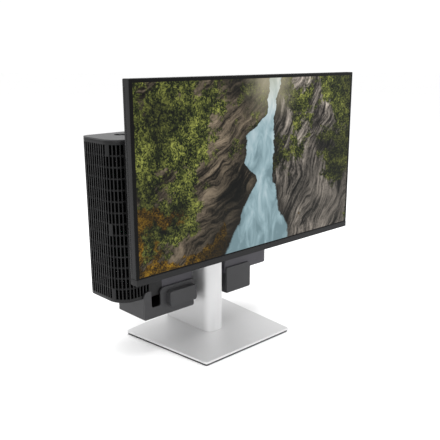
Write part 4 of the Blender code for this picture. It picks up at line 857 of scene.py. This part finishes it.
def screen_cover(material):
    """The monitor's back: air slots high and low on the bulge, a row of sockets under it."""
    bm = merged_copy("screen_rear_cover")
    low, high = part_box("screen_rear_cover")
    round_edges(bm, MONITOR_COVER_EDGE, 2, MONITOR_COVER_ANGLE, is_long)
    for above in AIR_FIELDS:
        slot_field(bm, facing(bm, Y, 1),
                   (Z, (low.z + high.z) / 2 + above, AIR_PITCH, AIR_H, AIR_ROWS),
                   (X, AIR_LEFT, AIR_PITCH, AIR_W, AIR_COLUMNS), AIR_DEPTH)
    skirt = [face for face in bm.faces if face.normal.y > FACING
             and face.calc_center_median().y < low.y + SKIRT_BAND
             and face.calc_area() > SKIRT_AREA]
    slot_field(bm, skirt, (Z, low.z + JACK_UP, ALONE, JACK_H, 1),
               (X, JACK_LEFT, JACK_PITCH, JACK_W, JACKS), JACK_DEPTH, JACK_RIM)
    finished(bm, "screen_rear_cover_finished", material, "screen_rear_cover")


def mount_screws(material):
    """The screws of the mounting plate, each with a socket in its head."""
    for index in range(1, MOUNT_SCREWS + 1):
        node = f"vesa_screw_{index}"
        bm = merged_copy(node)
        crown = max(bm.faces, key=lambda face: (round(face.normal.y, 2),
                                                face.calc_center_median().y))
        sunk(bm, crown, MOUNT_RING, THIN_RIM, MOUNT_DRIVE_DEPTH)
        round_edges(bm, MOUNT_EDGE, 2, SMALL_EDGE_ANGLE)
        finished(bm, node + "_finished", material, node)


# ---------------------------------------------------------------- studio


def camera():
    data = bpy.data.cameras.new("camera")
    data.lens = CAMERA_LENS
    data.sensor_width = CAMERA_SENSOR
    data.shift_x, data.shift_y = CAMERA_SHIFT
    data.clip_end = CAMERA_REACH
    made = bpy.data.objects.new("camera", data)
    made.location = CAMERA_PLACE
    made.rotation_euler = [math.radians(angle) for angle in CAMERA_TURN]
    bpy.context.scene.collection.objects.link(made)
    bpy.context.scene.camera = made


def lights():
    for name, place, target, size, power in SOFTBOXES:
        light = bpy.data.lights.new(name, "AREA")
        light.size = size
        light.energy = power
        lamp = bpy.data.objects.new(name, light)
        lamp.location = place
        lamp.rotation_euler = (Vector(target) - Vector(place)).to_track_quat("-Z", "Y").to_euler()
        bpy.context.scene.collection.objects.link(lamp)
    world = bpy.data.worlds.new("studio")
    world.use_nodes = True
    backdrop = world.node_tree.nodes["Background"]
    backdrop.inputs["Color"].default_value = (1, 1, 1, 1)
    backdrop.inputs["Strength"].default_value = WORLD_LIGHT
    bpy.context.scene.world = world
    bpy.context.scene.view_settings.view_transform = "Standard"


def pale_floor():
    bm = bmesh.new()
    bmesh.ops.create_grid(bm, x_segments=1, y_segments=1, size=FLOOR_HALF)
    mesh = bpy.data.meshes.new("floor")
    bm.to_mesh(mesh)
    bm.free()
    finish = Finish("pale_floor", 0.9)
    finish.set("Base Color", finish.ramp(finish.noise(0.7, 2), (0.3, (0.955,) * 3),
                                         (0.7, (0.965,) * 3)))
    mesh.materials.append(finish.material)
    floor = bpy.data.objects.new("floor", mesh)
    bpy.context.scene.collection.objects.link(floor)


materials = make_materials()
for node, thing in frame["nodes"].items():
    for holder in thing.material_slots:
        holder.link = "OBJECT"
        holder.material = materials[SLOT_OF[node]]

camera()
lights()
pale_floor()
vented_cover(materials["black"])
softened("pc_top_panel", materials["cap"], TOP_EDGE, TOP_EDGE_STEPS)
softened("pc_front_panel", materials["housing"], CASE_EDGE)
softened("pc_right_cover", materials["housing"], CASE_EDGE)
chassis_wall(materials["chassis"])
for node, width in ROUNDED:
    softened(node, materials[SLOT_OF[node]], width * MM)
softened("base_underlay", materials["black"], UNDERLAY_EDGE)
softened("base_plate", materials["silver"], BASE_EDGE, BASE_EDGE_STEPS, BASE_EDGE_ANGLE)
softened("lcd_cell", materials["panel"], CELL_EDGE)
screen_frame(materials["frame"])
screen_cover(materials["bezel"])
pc_back(materials["black"], materials["steel"])
mount_screws(materials["steel"])
socket_tongues(materials["steel"], materials["socket"])
power_button(materials["alloy"], materials["ring"])
